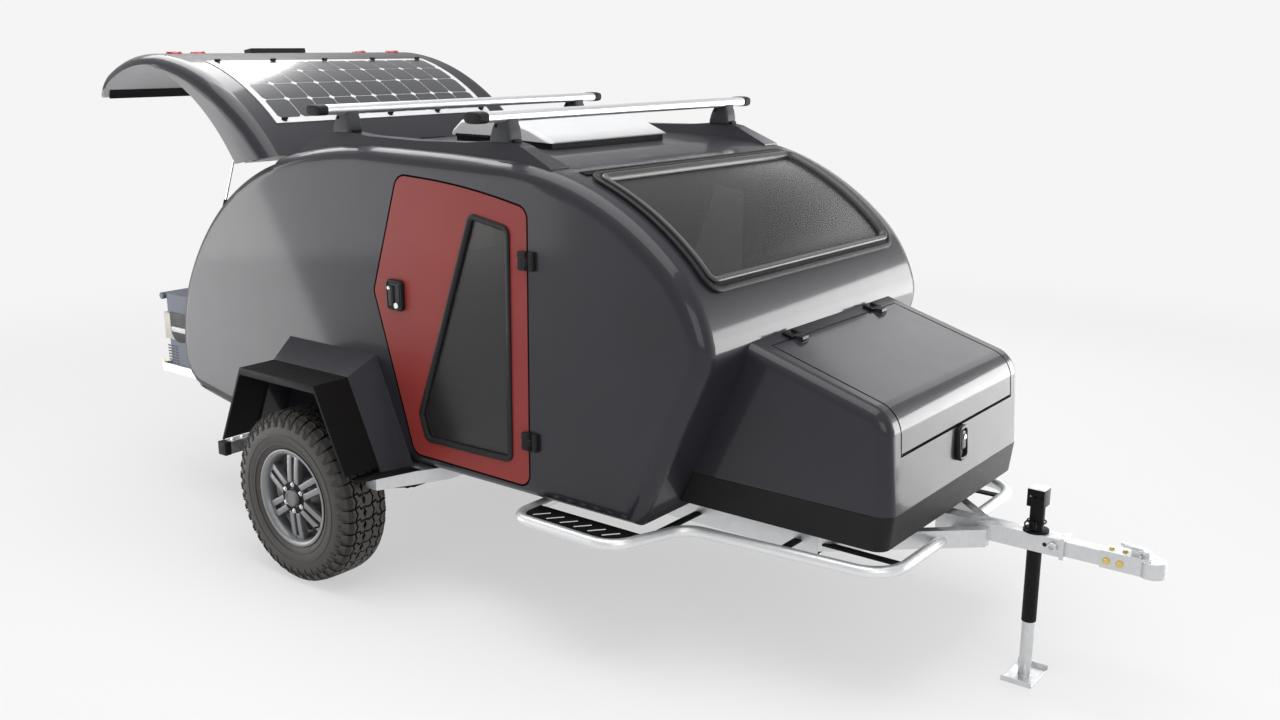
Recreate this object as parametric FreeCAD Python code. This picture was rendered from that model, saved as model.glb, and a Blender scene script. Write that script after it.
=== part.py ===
import FreeCAD, Part
import math
import os

V = FreeCAD.Vector

# ---------------------------------------------------------------------------
# A two-berth teardrop camping trailer with a rear galley.
# Working frame of the drawing: x = 0 on the wheel axis and forward to the
# coupling, y = 0 on the mid-plane (left is +Y), z = 0 on the ground.
# At the end everything is moved along X so that the origin lies under the
# middle of the whole trailer. All lengths are millimetres, angles degrees.
# ---------------------------------------------------------------------------

# --- moulded body ----------------------------------------------------------
BODY_HALF = 800.0            # half the outside width
BODY_BOTTOM = 525.0          # underside of the floor
SHELL = 30.0                 # thickness of walls, roof and floor
SHOULDER = 70.0              # rounding between the side walls and the roof
SLOPE_END = (-1026.6, 580.5) # where the rising rear of the floor meets the tail
SLOPE_HEADING = 170.0        # direction of that rise
# side outline, from there up the tail and over the roof to the nose:
# radius, turn
OUTLINE = [
    (180.0, 77.00),
    (765.0, 33.00),
    (1190.0, 45.50),
    (2355.0, 14.50),
    (14950.0, 2.86),
    (1142.0, 40.10),
    (537.0, 30.90),
    (200.0, 42.00),
]
SIDE_INNER = BODY_HALF - SHOULDER       # shoulders belong to the side walls
ROOF_FRONT_X = 1225.0        # seam between roof and nose
BULKHEAD_X = -280.0          # front face of the wall between bed and galley
BULKHEAD = 20.0

# --- rear opening: here the walls lie inside the closed hatch ---------------
SEAM_X = -353.0              # rear edge of the fixed roof
SILL_Z = 612.0               # upper edge of the sill under the hatch
RIM_STEP = 15.0              # how far the walls' rims lie inside the outline
RIM_ROUND = 56.0
# cut in the rim that takes the rubber seal: x, z
SEAL_CUT = [(-600.0, 1571.0), (-760.0, 1478.0), (-925.0, 1352.0)]
SEAL_IN = BODY_HALF - SHELL
SEAL_OUT = BODY_HALF - 14.0

# --- rear hatch ------------------------------------------------------------
HATCH_LAP = 12.0             # how far its sides stand outside the walls
HATCH_HALF = BODY_HALF + HATCH_LAP
HATCH_ROUND = 68.0
HATCH_SKIN = 9.8
HATCH_FLANGE = 6.8
HATCH_OPEN = 66.0            # how far it stands open
HINGE_X = -365.0
HINGE_Z = 1721.6
HINGE_R = 6.0
HINGE_PIN_R = 3.0
HATCH_FRONT_X = -377.0       # its front edge on the roof
HATCH_END = (-429.0, 1496.0) # lower corner of its front edge
HATCH_END_WALL = 14.0
HATCH_INNER_HALF = BODY_HALF - SHELL - 8.0
HATCH_FOOT_Z = 622.0         # its lower edge when closed
# inner line of its side flanges when closed, arc by arc: start, middle, end
FLANGE_ARCS = [
    ((-429.0, 1496.0), (-754.0, 1376.0), (-1053.0, 1109.0)),
    ((-1053.0, 1109.0), (-1110.0, 950.0), (-1126.0, 800.0)),
    ((-1126.0, 800.0), (-1122.0, 715.0), (-1096.0, 640.0)),
]

# --- solar panel on the hatch ----------------------------------------------
CELL = 125.5
CELL_COLUMNS = 10
CELL_ROWS = 4
PANEL_BORDER = 28.0
PANEL_THICK = 3.0
PANEL_FIRST_ANGLE = 114.8    # arc angle of the panel's upper edge when closed

# --- gas struts ------------------------------------------------------------
STRUT_Y = BODY_HALF - 80.0
STRUT_TUBE_LONG = 215.0
STRUT_BODY_X = -910.0
STRUT_BODY_Z = 1310.0
STRUT_EYE_X = -550.5         # rod eye with the hatch closed
STRUT_EYE_Z = 1440.0
STRUT_TUBE_R = 10.0
STRUT_ROD_R = 4.0
STRUT_RING = 12.0            # width of the ring at the rod's eye
EYE_CLEAR = 2.0              # from that ring to the end of the hatch's pin
RUN_GAP = 0.05               # radial clearance of every running fit

# --- doors -----------------------------------------------------------------
DOOR_PLAY = 5.0
# corners of the door leaf: x, z, corner radius
DOOR_CORNERS = [
    (426.0, 1702.0, 60.0),
    (800.0, 1684.0, 3200.0),
    (1098.0, 1622.0, 45.0),
    (1083.0, 579.0, 45.0),
    (459.0, 586.0, 45.0),
    (261.0, 1232.0, 50.0),
]
# corners of the door window: x, z, corner radius
GLASS_CORNERS = [
    (815.0, 1586.0, 35.0),
    (1014.0, 1551.0, 35.0),
    (1002.0, 657.0, 35.0),
    (533.0, 651.0, 35.0),
    (499.0, 762.0, 35.0),
]
GLASS_THICK = 5.0
DOOR_HINGE_Z = (759.0, 1437.0)
DOOR_HINGE_X = 1102.0
DOOR_HINGE_R = 9.0
DOOR_PIN_R = 4.0
DOOR_SWING = 100.0

# --- nose window -----------------------------------------------------------
WINDOW_TOP_X = 1268.0
WINDOW_BOTTOM_Z = 1378.0
WINDOW_HALF = BODY_HALF - 127.0
WINDOW_FRAME = 34.0
WINDOW_CORNER = 70.0

# --- nose locker -----------------------------------------------------------
LOCKER_HALF = 550.0
LOCKER_REAR_TOP = (1829.0, 1211.6)
LOCKER_FRONT_TOP = (2418.0, 1031.0)
LOCKER_FRONT_X = 2439.0      # its front face at the skirt
LOCKER_ROUND = 110.0         # rounding between its top and its front
LOCKER_EDGE = 50.0           # rounding along its sides
LOCKER_WALL = 12.0
SKIRT_TOP_Z = 690.0
SKIRT_BOTTOM_Z = 566.0
SKIRT_TUCK = 16.0
LID_HALF = LOCKER_HALF - 90.0
LID_REAR_X = 1925.0
LID_FRONT_Z = 884.0
LID_GAP = 5.0
LID_SWING = 80.0

# --- wheels ----------------------------------------------------------------
TYRE_R = 367.0
TYRE_WIDTH = 250.0
TYRE_Y = BODY_HALF + 175.0   # middle of the tread
RIM_LIP_R = 208.5
RIM_HALF = 111.0
RIM_SEAT_R = 190.0
WELL_R = 165.0
SPOKE_PAIRS = 6
SPOKE_SLOT = 15.0
DISC_THICK = 24.0
DISC_Y = TYRE_Y + 90.0       # outer face of the wheel disc
HUB_CAP_R = 38.0
SPINDLE_R = 20.0
DRUM_R = 140.0
ARM_Y = DISC_Y - 305.0       # outer face of the suspension arm
ARM_PIVOT_X = 365.0
ARM_PIVOT_Z = 436.0
ARM_PIVOT_R = 30.0

# --- fenders ---------------------------------------------------------------
FENDER_X = -12.0
FENDER_TOP_HALF = 240.0
FENDER_FOOT_HALF = 406.0
FENDER_TOP_Z = 893.0
FENDER_FOOT_Z = 549.0
FENDER_PLATE = 6.0
FENDER_OUT_Y = TYRE_Y + 130.0
FENDER_IN_Y = BODY_HALF + 135.0
FLARE_SPREAD = 70.0

# --- chassis ---------------------------------------------------------------
RAIL_Y = 420.0
RAIL_WIDE = 50.0
RAIL_TOP = BODY_BOTTOM
RAIL_DEEP = 76.0
RAIL_WALL = 4.0
RAIL_REAR_X = -1030.0
REAR_OUTRIGGER = (-473.0, -423.0)            # rear and front face
FRONT_OUTRIGGER = (364.0, 430.0, 500.0, 560.0)   # rear face, then its bent front edge
OUTRIGGER_DEEP = 56.0
RAIL_FRONT_X = 2120.0
TONGUE_X = 2570.0
TONGUE_END_X = 2840.0
TONGUE_TUBE = 64.0
TONGUE_TOP = 552.0
TONGUE_WALL = 5.0
INNER_TUBE_END_X = 2965.0
COUPLER_NOSE_X = 3165.0
BALL_R = 25.4

# --- jack ------------------------------------------------------------------
JACK_X = 2728.0
JACK_TUBE_R = 25.5
JACK_TUBE_BOTTOM = 215.0
JACK_LEG_R = 22.0
JACK_HEAD_TOP = 709.0
JACK_FOOT = (110.0, 170.0)

# --- bumper tube -----------------------------------------------------------
BAR_R = 21.0
BAR_Z = 490.0
# corners of the right-hand half of the bumper tube: x, y, bend radius
BAR_CORNERS = [
    (1085.0, -445.0, 0.0),
    (1085.0, -BODY_HALF - 95.0, 75.0),
    (1560.0, -BODY_HALF - 105.0, 110.0),
    (1670.0, -600.0, 110.0),
    (2445.0, -545.0, 130.0),
    (2445.0, 0.0, 0.0),
]

# corners of a step plate that fills the bend of the bumper tube: x, y
STEP_PLATE = [
    (1092.0, BODY_HALF - 40.0),
    (1090.0, BODY_HALF + 30.0),
    (1150.0, BODY_HALF + 93.0),
    (1500.0, BODY_HALF + 100.0),
    (1548.0, BODY_HALF + 83.0),
    (1583.0, BODY_HALF + 35.0),
    (1596.0, BODY_HALF - 40.0),
]

STEP_SLANT = 40.0
# flat bars from the rails to the bumper tube: x, how far out
BAR_TIES = [(1610.0, 765.0), (2040.0, 573.0)]

# --- roof ------------------------------------------------------------------
BAR_FRONT_X = 915.0
BAR_REAR_X = 32.0
CROSSBAR_Z = 1941.0          # middle of the crossbars
CROSSBAR_HALF = BODY_HALF + 70.0
CROSSBAR_WIDE = 80.0
CROSSBAR_DEEP = 32.0
CROSSBAR_FOOT_Y = BODY_HALF - 97.0
POD_TOP_Z = 1846.0
RAIL_POD_TOP = 28.0          # half its width at the top and at the foot
RAIL_POD_FOOT = 66.0
# side view of a roof rail: x, z
RAIL_POD = [
    (-225.0, 1748.0),
    (-115.0, 1838.0),
    (-10.0, POD_TOP_Z),
    (80.0, POD_TOP_Z),
    (200.0, 1836.0),
    (480.0, 1831.0),
    (740.0, 1836.0),
    (865.0, POD_TOP_Z),
    (965.0, POD_TOP_Z),
    (1010.0, 1838.0),
    (1176.0, 1766.0),
]
VENT_HALF = 375.0
VENT_LIFT = 22.0             # how far its lid stands over the roof
# side view of the vent lid: x, z
VENT_LID = [
    (295.0, 1700.0),
    (295.0, 1850.0),
    (345.0, 1889.0),
    (430.0, 1904.0),
    (620.0, 1898.0),
    (730.0, 1868.0),
    (850.0, 1820.0),
    (850.0, 1700.0),
]


# ---------------------------------------------------------------------------
# small helpers
# ---------------------------------------------------------------------------
def block(x0, x1, y0, y1, z0, z1):
    return Part.makeBox(x1 - x0, y1 - y0, z1 - z0, V(x0, y0, z0))


def rod(x, y, z, axis, radius, length):
    return Part.makeCylinder(radius, length, V(x, y, z), V(*axis))


def mirror(shape):
    return shape.mirror(V(0, 0, 0), V(0, 1, 0))


def on_side(shape, side):
    """The right-hand piece (side -1), or its mirror image on the left."""
    return shape if side < 0 else mirror(shape)


def join(shapes):
    whole = shapes[0].fuse(shapes[1:]) if len(shapes) > 1 else shapes[0]
    return whole.removeSplitter()


def minus(shape, tools):
    for tool in tools:
        shape = shape.cut(tool)
    return shape


def side_plate(points, y0, y1):
    """A flat plate with an outline in x and z."""
    wire = Part.makePolygon([V(x, y0, z) for x, z in points] + [V(points[0][0], y0, points[0][1])])
    return Part.Face(wire).extrude(V(0, y1 - y0, 0))


def plan_plate(points, z0, z1):
    """A flat plate with an outline in x and y."""
    wire = Part.makePolygon([V(x, y, z0) for x, y in points] + [V(points[0][0], points[0][1], z0)])
    return Part.Face(wire).extrude(V(0, 0, z1 - z0))


def rounded_wire(corners, place):
    """A closed wire through corners of (u, v, radius); radius 0 is sharp."""
    count = len(corners)
    edges = []
    starts = []
    ends = []
    middles = []
    for i in range(count):
        u, v, radius = corners[i]
        before = corners[i - 1]
        after = corners[(i + 1) % count]
        p = V(u, v, 0)
        a = (V(before[0], before[1], 0) - p).normalize()
        b = (V(after[0], after[1], 0) - p).normalize()
        half = a.getAngle(b) / 2.0
        reach = radius / math.tan(half)
        bisector = (a + b).normalize()
        starts.append(p + a * reach)
        ends.append(p + b * reach)
        middles.append(p + bisector * (radius / math.sin(half) - radius))
    for i in range(count):
        after = (i + 1) % count
        if corners[i][2] > 0.0:
            edges.append(Part.Arc(place(starts[i]), place(middles[i]), place(ends[i])).toShape())
        edges.append(Part.LineSegment(place(ends[i]), place(starts[after])).toShape())
    return Part.Wire(edges)


def rounded_plate(corners, y0, y1):
    wire = rounded_wire(corners, lambda p: V(p.x, y0, p.y))
    return Part.Face(wire).extrude(V(0, y1 - y0, 0))


def inset(corners, step):
    """The same corners moved inwards by step, their radii reduced with them."""
    count = len(corners)
    area = 0.0
    for i in range(count):
        a = corners[i]
        b = corners[(i + 1) % count]
        area += a[0] * b[1] - b[0] * a[1]
    turn = 1.0 if area > 0 else -1.0
    moved = []
    for i in range(count):
        a = corners[i - 1]
        p = corners[i]
        b = corners[(i + 1) % count]
        d1 = FreeCAD.Vector(p[0] - a[0], p[1] - a[1], 0).normalize()
        d2 = FreeCAD.Vector(b[0] - p[0], b[1] - p[1], 0).normalize()
        n1 = FreeCAD.Vector(-d1.y, d1.x, 0) * turn
        n2 = FreeCAD.Vector(-d2.y, d2.x, 0) * turn
        bisector = (n1 + n2).normalize()
        reach = step / math.cos(n1.getAngle(n2) / 2.0)
        radius = max(p[2] - step, 4.0)
        moved.append((p[0] + bisector.x * reach, p[1] + bisector.y * reach, radius))
    return moved


# ---------------------------------------------------------------------------
# body outline
# ---------------------------------------------------------------------------
def outline_points(step):
    """Arcs of the outline moved inwards by step, and its two floor corners."""
    heading = SLOPE_HEADING
    inwards = math.radians(heading - 90.0)
    x = SLOPE_END[0] + step * math.cos(inwards)
    z = SLOPE_END[1] + step * math.sin(inwards)
    bottom = BODY_BOTTOM + step
    kink = (x + (z - bottom) / math.tan(math.radians(180.0 - heading)), bottom)
    arcs = []
    for radius, turn in OUTLINE:
        r = radius - step
        side = math.radians(heading - 90.0)
        cx = x + r * math.cos(side)
        cz = z + r * math.sin(side)
        points = [(x, z)]
        for share in (0.5, 1.0):
            out = math.radians(heading + 90.0 - turn * share)
            points.append((cx + r * math.cos(out), cz + r * math.sin(out)))
        arcs.append((points, (cx, cz), r))
        x, z = points[-1]
        heading -= turn
    drop = (bottom - z) / math.sin(math.radians(heading))
    foot = (x + drop * math.cos(math.radians(heading)), bottom)
    return arcs, foot, kink


def outline_face(step, y):
    arcs, foot, kink = outline_points(step)
    edges = []
    for points, centre, radius in arcs:
        a, b, c = [V(p[0], y, p[1]) for p in points]
        edges.append(Part.Arc(a, b, c).toShape())
    loop = [arcs[-1][0][-1], foot, kink, arcs[0][0][0]]
    for a, b in zip(loop[:-1], loop[1:]):
        edges.append(Part.LineSegment(V(a[0], y, a[1]), V(b[0], y, b[1])).toShape())
    return Part.Face(Part.Wire(edges))


def outline_solid(step, half, rounding):
    solid = outline_face(step, -half).extrude(V(0, 2.0 * half, 0))
    if rounding <= 0.0:
        return solid
    edges = []
    for edge in solid.Edges:
        ys = [v.Y for v in edge.Vertexes]
        if abs(ys[0] - ys[1]) < 1e-6 and abs(abs(ys[0]) - half) < 1e-6:
            edges.append(edge)
    return solid.makeFillet(rounding, edges)


def roof_height(x, step=0.0):
    """Height of the outline over a place x, for the arcs that form the roof."""
    best = 0.0
    for points, centre, radius in outline_points(step)[0]:
        low = min(points[0][0], points[-1][0])
        high = max(points[0][0], points[-1][0])
        if low - 1e-6 <= x <= high + 1e-6 and points[1][1] > centre[1]:
            best = max(best, centre[1] + math.sqrt(max(radius ** 2 - (x - centre[0]) ** 2, 0.0)))
    return best


TAIL_ARC = outline_points(0.0)[0][2]          # the large arc of the tail
TAIL_CENTRE = TAIL_ARC[1]
TAIL_R = TAIL_ARC[2]
FAR = 4000.0

PIECES = {}


def keep(name, shape):
    PIECES[name] = shape


# ---------------------------------------------------------------------------
# moulded body: side walls, roof, nose, floor, bulkhead
# ---------------------------------------------------------------------------
def flare_solid(outer_step):
    """Raised moulding round the wheel, on the right-hand wall."""
    top = FENDER_TOP_Z
    foot = BODY_BOTTOM
    spread = FLARE_SPREAD
    outer = [
        (FENDER_X - FENDER_FOOT_HALF - 10.0 + outer_step, foot + outer_step * 0.0),
        (FENDER_X - FENDER_TOP_HALF + outer_step * 0.6, top - outer_step),
        (FENDER_X + FENDER_TOP_HALF - outer_step * 0.6, top - outer_step),
        (FENDER_X + FENDER_FOOT_HALF + 10.0 - outer_step, foot + outer_step * 0.0),
    ]
    inner = [
        (outer[0][0] - spread, outer[0][1]),
        (outer[1][0] - spread * 0.8, outer[1][1] + spread),
        (outer[2][0] + spread * 0.3, outer[2][1] + spread),
        (outer[3][0] + spread * 0.6, outer[3][1]),
    ]
    wires = []
    for y, points in ((-FENDER_IN_Y, outer), (-BODY_HALF, inner)):
        wires.append(Part.makePolygon([V(x, y, z) for x, z in points + [points[0]]]))
    return Part.makeLoft(wires, True, True)


def wheel_well():
    """Space inside the fender and flare, from the wall outwards."""
    gap = FENDER_PLATE
    points = [
        (FENDER_X - FENDER_FOOT_HALF + gap - 25.0, BODY_BOTTOM - 60.0),
        (FENDER_X - FENDER_FOOT_HALF + gap, BODY_BOTTOM),
        (FENDER_X - FENDER_TOP_HALF + gap, FENDER_TOP_Z - gap),
        (FENDER_X + FENDER_TOP_HALF - gap, FENDER_TOP_Z - gap),
        (FENDER_X + FENDER_FOOT_HALF - gap, BODY_BOTTOM),
        (FENDER_X + FENDER_FOOT_HALF - gap + 25.0, BODY_BOTTOM - 60.0),
    ]
    return side_plate(points, -FENDER_OUT_Y - 100.0, -BODY_HALF)


def seal_sliver():
    """Side view region cut out of the rim for the rubber seal."""
    a, b, c = [V(p[0], -FAR, p[1]) for p in SEAL_CUT]
    out = [V(c.x - 200.0, -FAR, c.z), V(-FAR, -FAR, FAR), V(a.x, -FAR, FAR)]
    edges = [Part.Arc(a, b, c).toShape()]
    loop = [c] + out + [a]
    for p, q in zip(loop[:-1], loop[1:]):
        edges.append(Part.LineSegment(p, q).toShape())
    return Part.Face(Part.Wire(edges)).extrude(V(0, 2.0 * FAR, 0))


def build_shell():
    outer = outline_solid(0.0, BODY_HALF, SHOULDER)
    rim = outline_solid(RIM_STEP, BODY_HALF, RIM_ROUND)
    inner = outline_solid(SHELL, BODY_HALF - SHELL, SHOULDER - SHELL)
    front = block(SEAM_X, FAR, -FAR, FAR, 0.0, FAR)
    sill = block(-FAR, FAR, -FAR, FAR, 0.0, SILL_Z)
    side = block(-FAR, FAR, -FAR, -SIDE_INNER, 0.0, FAR)
    opening = block(-FAR, SEAM_X, -(BODY_HALF - SHELL), 0.0, SILL_Z, FAR)

    whole = join([outer.common(front).common(side), outer.common(sill).common(side), rim.common(side)])
    wall = minus(whole, [inner, opening, seal_sliver()])
    doorway = rounded_plate(inset(DOOR_CORNERS, -DOOR_PLAY), -BODY_HALF - 50.0,
                            -BODY_HALF + SHOULDER + 40.0)
    wall = wall.cut(doorway)
    flare = flare_solid(0.0).cut(wheel_well())
    boss = rod(STRUT_BODY_X, -(BODY_HALF - SHELL + 4.0), STRUT_BODY_Z, (0, 1, 0), 16.0, 34.0 - 2.0)
    pin = rod(STRUT_BODY_X, -(BODY_HALF - SHELL), STRUT_BODY_Z, (0, 1, 0), 5.0,
              BODY_HALF - SHELL - STRUT_Y + 12.0)
    wall = join([wall, flare, boss, pin])
    keep("side_wall_right", wall)
    keep("side_wall_left", mirror(wall))
    strip = rim.common(seal_sliver()).common(block(-FAR, SEAL_CUT[0][0] - 1.0, -SEAL_OUT, -SEAL_IN,
                                                   SILL_Z, FAR))
    keep("rim_seals", Part.makeCompound([strip, mirror(strip)]))

    shell = outer.cut(inner).common(block(-FAR, FAR, -SIDE_INNER, SIDE_INNER, 0.0, FAR))
    roof = shell.common(block(SEAM_X, ROOF_FRONT_X, -FAR, FAR, 1400.0, FAR))
    keep("roof_panel", roof)
    nose = shell.common(block(ROOF_FRONT_X, FAR, -FAR, FAR, BODY_BOTTOM + SHELL, FAR))
    keep("nose_panel", nose.cut(window_cutter(0.0, 200.0)))
    low = join([block(-FAR, FAR, -FAR, FAR, 0.0, BODY_BOTTOM + SHELL),
                block(-FAR, 0.0, -FAR, FAR, 0.0, SILL_Z)])
    keep("floor_panel", shell.common(low))


def window_cutter(step, depth):
    """Prism through the nose, square to the window's chord."""
    top = (WINDOW_TOP_X, roof_height(WINDOW_TOP_X))
    bottom_x = nose_x_at(WINDOW_BOTTOM_Z)
    bottom = (bottom_x, WINDOW_BOTTOM_Z)
    along = V(bottom[0] - top[0], 0, bottom[1] - top[1])
    length = along.Length
    along.normalize()
    out = V(-along.z, 0, along.x)
    middle = V((top[0] + bottom[0]) / 2.0, 0, (top[1] + bottom[1]) / 2.0) - out * depth
    half_long = length / 2.0 - step
    half_wide = WINDOW_HALF - step
    radius = max(WINDOW_CORNER - step, 5.0)
    corners = [
        (-half_long, -half_wide, radius),
        (half_long, -half_wide, radius),
        (half_long, half_wide, radius),
        (-half_long, half_wide, radius),
    ]
    wire = rounded_wire(corners, lambda p: middle + along * p.x + V(0, p.y, 0))
    return Part.Face(wire).extrude(out * (depth + 260.0))


def nose_x_at(z, step=0.0):
    """Forward reach of the outline at a height z, above the nose's tip."""
    best = None
    for points, centre, radius in outline_points(step)[0]:
        low = min(points[0][1], points[-1][1])
        high = max(points[0][1], points[-1][1])
        if low - 1e-6 <= z <= high + 1e-6 and points[1][0] > centre[0]:
            x = centre[0] + math.sqrt(max(radius ** 2 - (z - centre[1]) ** 2, 0.0))
            best = x if best is None else max(best, x)
    return best


def build_nose_window():
    proud = outline_solid(-8.0, SIDE_INNER, 0.0)
    under = outline_solid(SHELL, SIDE_INNER, 0.0)
    ring = window_cutter(0.0, 200.0).cut(window_cutter(WINDOW_FRAME, 300.0))
    frame = ring.common(proud).cut(under)
    keep("nose_window_frame", frame)
    glass = window_cutter(WINDOW_FRAME, 200.0)
    glass = glass.common(outline_solid(0.0, SIDE_INNER, 0.0)).cut(outline_solid(6.0, SIDE_INNER, 0.0))
    keep("nose_window_glass", glass)


def build_bulkhead():
    inner = outline_solid(SHELL, BODY_HALF - SHELL, SHOULDER - SHELL)
    slab = block(BULKHEAD_X - BULKHEAD, BULKHEAD_X, -2000.0, 2000.0, 0.0, 3000.0)
    board = slab.common(inner)
    hole = block(BULKHEAD_X - 100.0, BULKHEAD_X + 100.0, -400.0, 400.0, 1230.0, 1440.0)
    keep("bulkhead", board.cut(hole))


# ---------------------------------------------------------------------------
# hatch, solar panel, lamps, struts
# ---------------------------------------------------------------------------
def opened(shape):
    moved = shape.copy()
    moved.rotate(V(HINGE_X, 0, HINGE_Z), V(0, 1, 0), HATCH_OPEN)
    return moved


def hatch_zone():
    """Side view region that the hatch covers when closed."""
    edges = []
    for start, middle, end in FLANGE_ARCS:
        edges.append(Part.Arc(*[V(p[0], -FAR, p[1]) for p in (start, middle, end)]).toShape())
    last = FLANGE_ARCS[-1][2]
    loop = [last, (last[0], HATCH_FOOT_Z), (-FAR, HATCH_FOOT_Z), (-FAR, FAR), (HATCH_FRONT_X, FAR),
            (HATCH_FRONT_X, HINGE_Z - 12.0), HATCH_END]
    for a, b in zip(loop[:-1], loop[1:]):
        edges.append(Part.LineSegment(V(a[0], -FAR, a[1]), V(b[0], -FAR, b[1])).toShape())
    return Part.Face(Part.Wire(edges)).extrude(V(0, 2.0 * FAR, 0))


def strut_bracket(side):
    """Plate and pin on the hatch that hold the rod's eye."""
    y = side * (STRUT_Y + 20.0)
    plate = side_plate([(STRUT_EYE_X - 16.0, STRUT_EYE_Z - 14.0),
                        (STRUT_EYE_X + 16.0, STRUT_EYE_Z - 14.0),
                        (STRUT_EYE_X + 60.0, STRUT_EYE_Z + 230.0),
                        (STRUT_EYE_X - 70.0, STRUT_EYE_Z + 230.0)],
                       y - 3.0, y + 3.0)
    pin_end = STRUT_Y + STRUT_RING / 2.0 + EYE_CLEAR
    pin = rod(STRUT_EYE_X, y, STRUT_EYE_Z, (0, -side, 0), STRUT_ROD_R, abs(y) - pin_end)
    return join([plate, pin]).common(outline_solid(HATCH_SKIN - 2.0, BODY_HALF, 0.0))


def build_hatch():
    outer = outline_solid(0.0, HATCH_HALF, HATCH_ROUND)
    inner = outline_solid(HATCH_SKIN, HATCH_HALF - HATCH_FLANGE, HATCH_ROUND - HATCH_FLANGE)
    shell = outer.cut(inner).common(hatch_zone())
    end_wall = side_plate([(HATCH_FRONT_X, HINGE_Z - 12.0), HATCH_END,
                           (HATCH_END[0] - HATCH_END_WALL, HATCH_END[1]),
                           (HATCH_FRONT_X - HATCH_END_WALL, HINGE_Z - 12.0)], -HATCH_INNER_HALF,
                           HATCH_INNER_HALF)
    end_wall = end_wall.common(outline_solid(2.0, BODY_HALF, 0.0))
    hatch = join([shell, end_wall, strut_bracket(-1), strut_bracket(1)])
    keep("hatch_shell", opened(hatch))
    lip = outline_solid(HATCH_SKIN, BODY_HALF - 50.0,
                        0.0).cut(outline_solid(HATCH_SKIN + 6.0, BODY_HALF, 0.0))
    lip = lip.common(block(-FAR, -1000.0, -FAR, FAR, HATCH_FOOT_Z, HATCH_FOOT_Z + 26.0))
    keep("hatch_foot_seal", opened(lip.cut(hatch)))


def tail_point(angle, radius, y):
    a = math.radians(angle)
    return V(TAIL_CENTRE[0] + radius * math.cos(a), y, TAIL_CENTRE[1] + radius * math.sin(a))


def arc_slab(r0, r1, a0, a1, half):
    """Curved slab on the tail arc, between two radii and two arc angles."""
    mid = (a0 + a1) / 2.0
    edges = [
        Part.Arc(tail_point(a0, r0, -half), tail_point(mid, r0, -half),
                 tail_point(a1, r0, -half)).toShape(),
        Part.LineSegment(tail_point(a1, r0, -half), tail_point(a1, r1, -half)).toShape(),
        Part.Arc(tail_point(a1, r1, -half), tail_point(mid, r1, -half),
                 tail_point(a0, r1, -half)).toShape(),
        Part.LineSegment(tail_point(a0, r1, -half), tail_point(a0, r0, -half)).toShape(),
    ]
    return Part.Face(Part.Wire(edges)).extrude(V(0, 2.0 * half, 0))


HATCH_OUT_R = TAIL_R


def build_solar_panel():
    arc_length = CELL_ROWS * CELL + 2.0 * PANEL_BORDER
    span = math.degrees(arc_length / HATCH_OUT_R)
    a0 = PANEL_FIRST_ANGLE
    slab = arc_slab(HATCH_OUT_R, HATCH_OUT_R + PANEL_THICK, a0, a0 + span,
                    CELL_COLUMNS * CELL / 2.0 + PANEL_BORDER)
    keep("solar_panel", opened(slab))


# marker lamps on the tail: distance from the middle, arc angle
LAMPS = [(-660.0, 155.2), (-490.0, 160.4), (490.0, 160.4), (660.0, 155.2)]
LAMP_R = 40.0
LAMP_HIGH = 9.0
PLATE_HALF = 165.0
PLATE_ANGLE = 165.0
TAIL_SMALL = outline_points(0.0)[0][1]        # the smaller arc below it


def on_small_arc(angle, lift, y):
    a = math.radians(angle)
    r = TAIL_SMALL[2] + lift
    return V(TAIL_SMALL[1][0] + r * math.cos(a), y, TAIL_SMALL[1][1] + r * math.sin(a))


def build_lamps():
    body = outline_solid(0.0, BODY_HALF, 0.0)
    lamps = []
    for y, angle in LAMPS:
        base = on_small_arc(angle, -6.0, y)
        out = (on_small_arc(angle, 10.0, y) - base).normalize()
        lens = Part.makeCone(LAMP_R, LAMP_R * 0.8, LAMP_HIGH + 6.0, base, out)
        lamps.append(lens.cut(body))
    keep("marker_lamps", opened(Part.makeCompound(lamps)))
    base = on_small_arc(PLATE_ANGLE, -6.0, 0.0)
    out = (on_small_arc(PLATE_ANGLE, 10.0, 0.0) - base).normalize()
    along = V(-out.z, 0, out.x)
    corner = base - along * 30.0 - V(0, PLATE_HALF, 0)
    edges = [corner, corner + V(0, 2.0 * PLATE_HALF, 0),
             corner + V(0, 2.0 * PLATE_HALF, 0) + along * 60.0,
             corner + along * 60.0]
    face = Part.Face(Part.makePolygon(edges + [edges[0]]))
    keep("plate_bracket", opened(face.extrude(out * 34.0).cut(body)))


def strut_frame():
    """Strut ends with the hatch standing open: body pivot, rod eye, direction."""
    body = V(STRUT_BODY_X, -STRUT_Y, STRUT_BODY_Z)
    a = math.radians(HATCH_OPEN)
    dx = STRUT_EYE_X - HINGE_X
    dz = STRUT_EYE_Z - HINGE_Z
    eye = V(HINGE_X + dx * math.cos(a) + dz * math.sin(a), -STRUT_Y,
            HINGE_Z - dx * math.sin(a) + dz * math.cos(a))
    along = (eye - body).normalize()
    return body, eye, along


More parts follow.
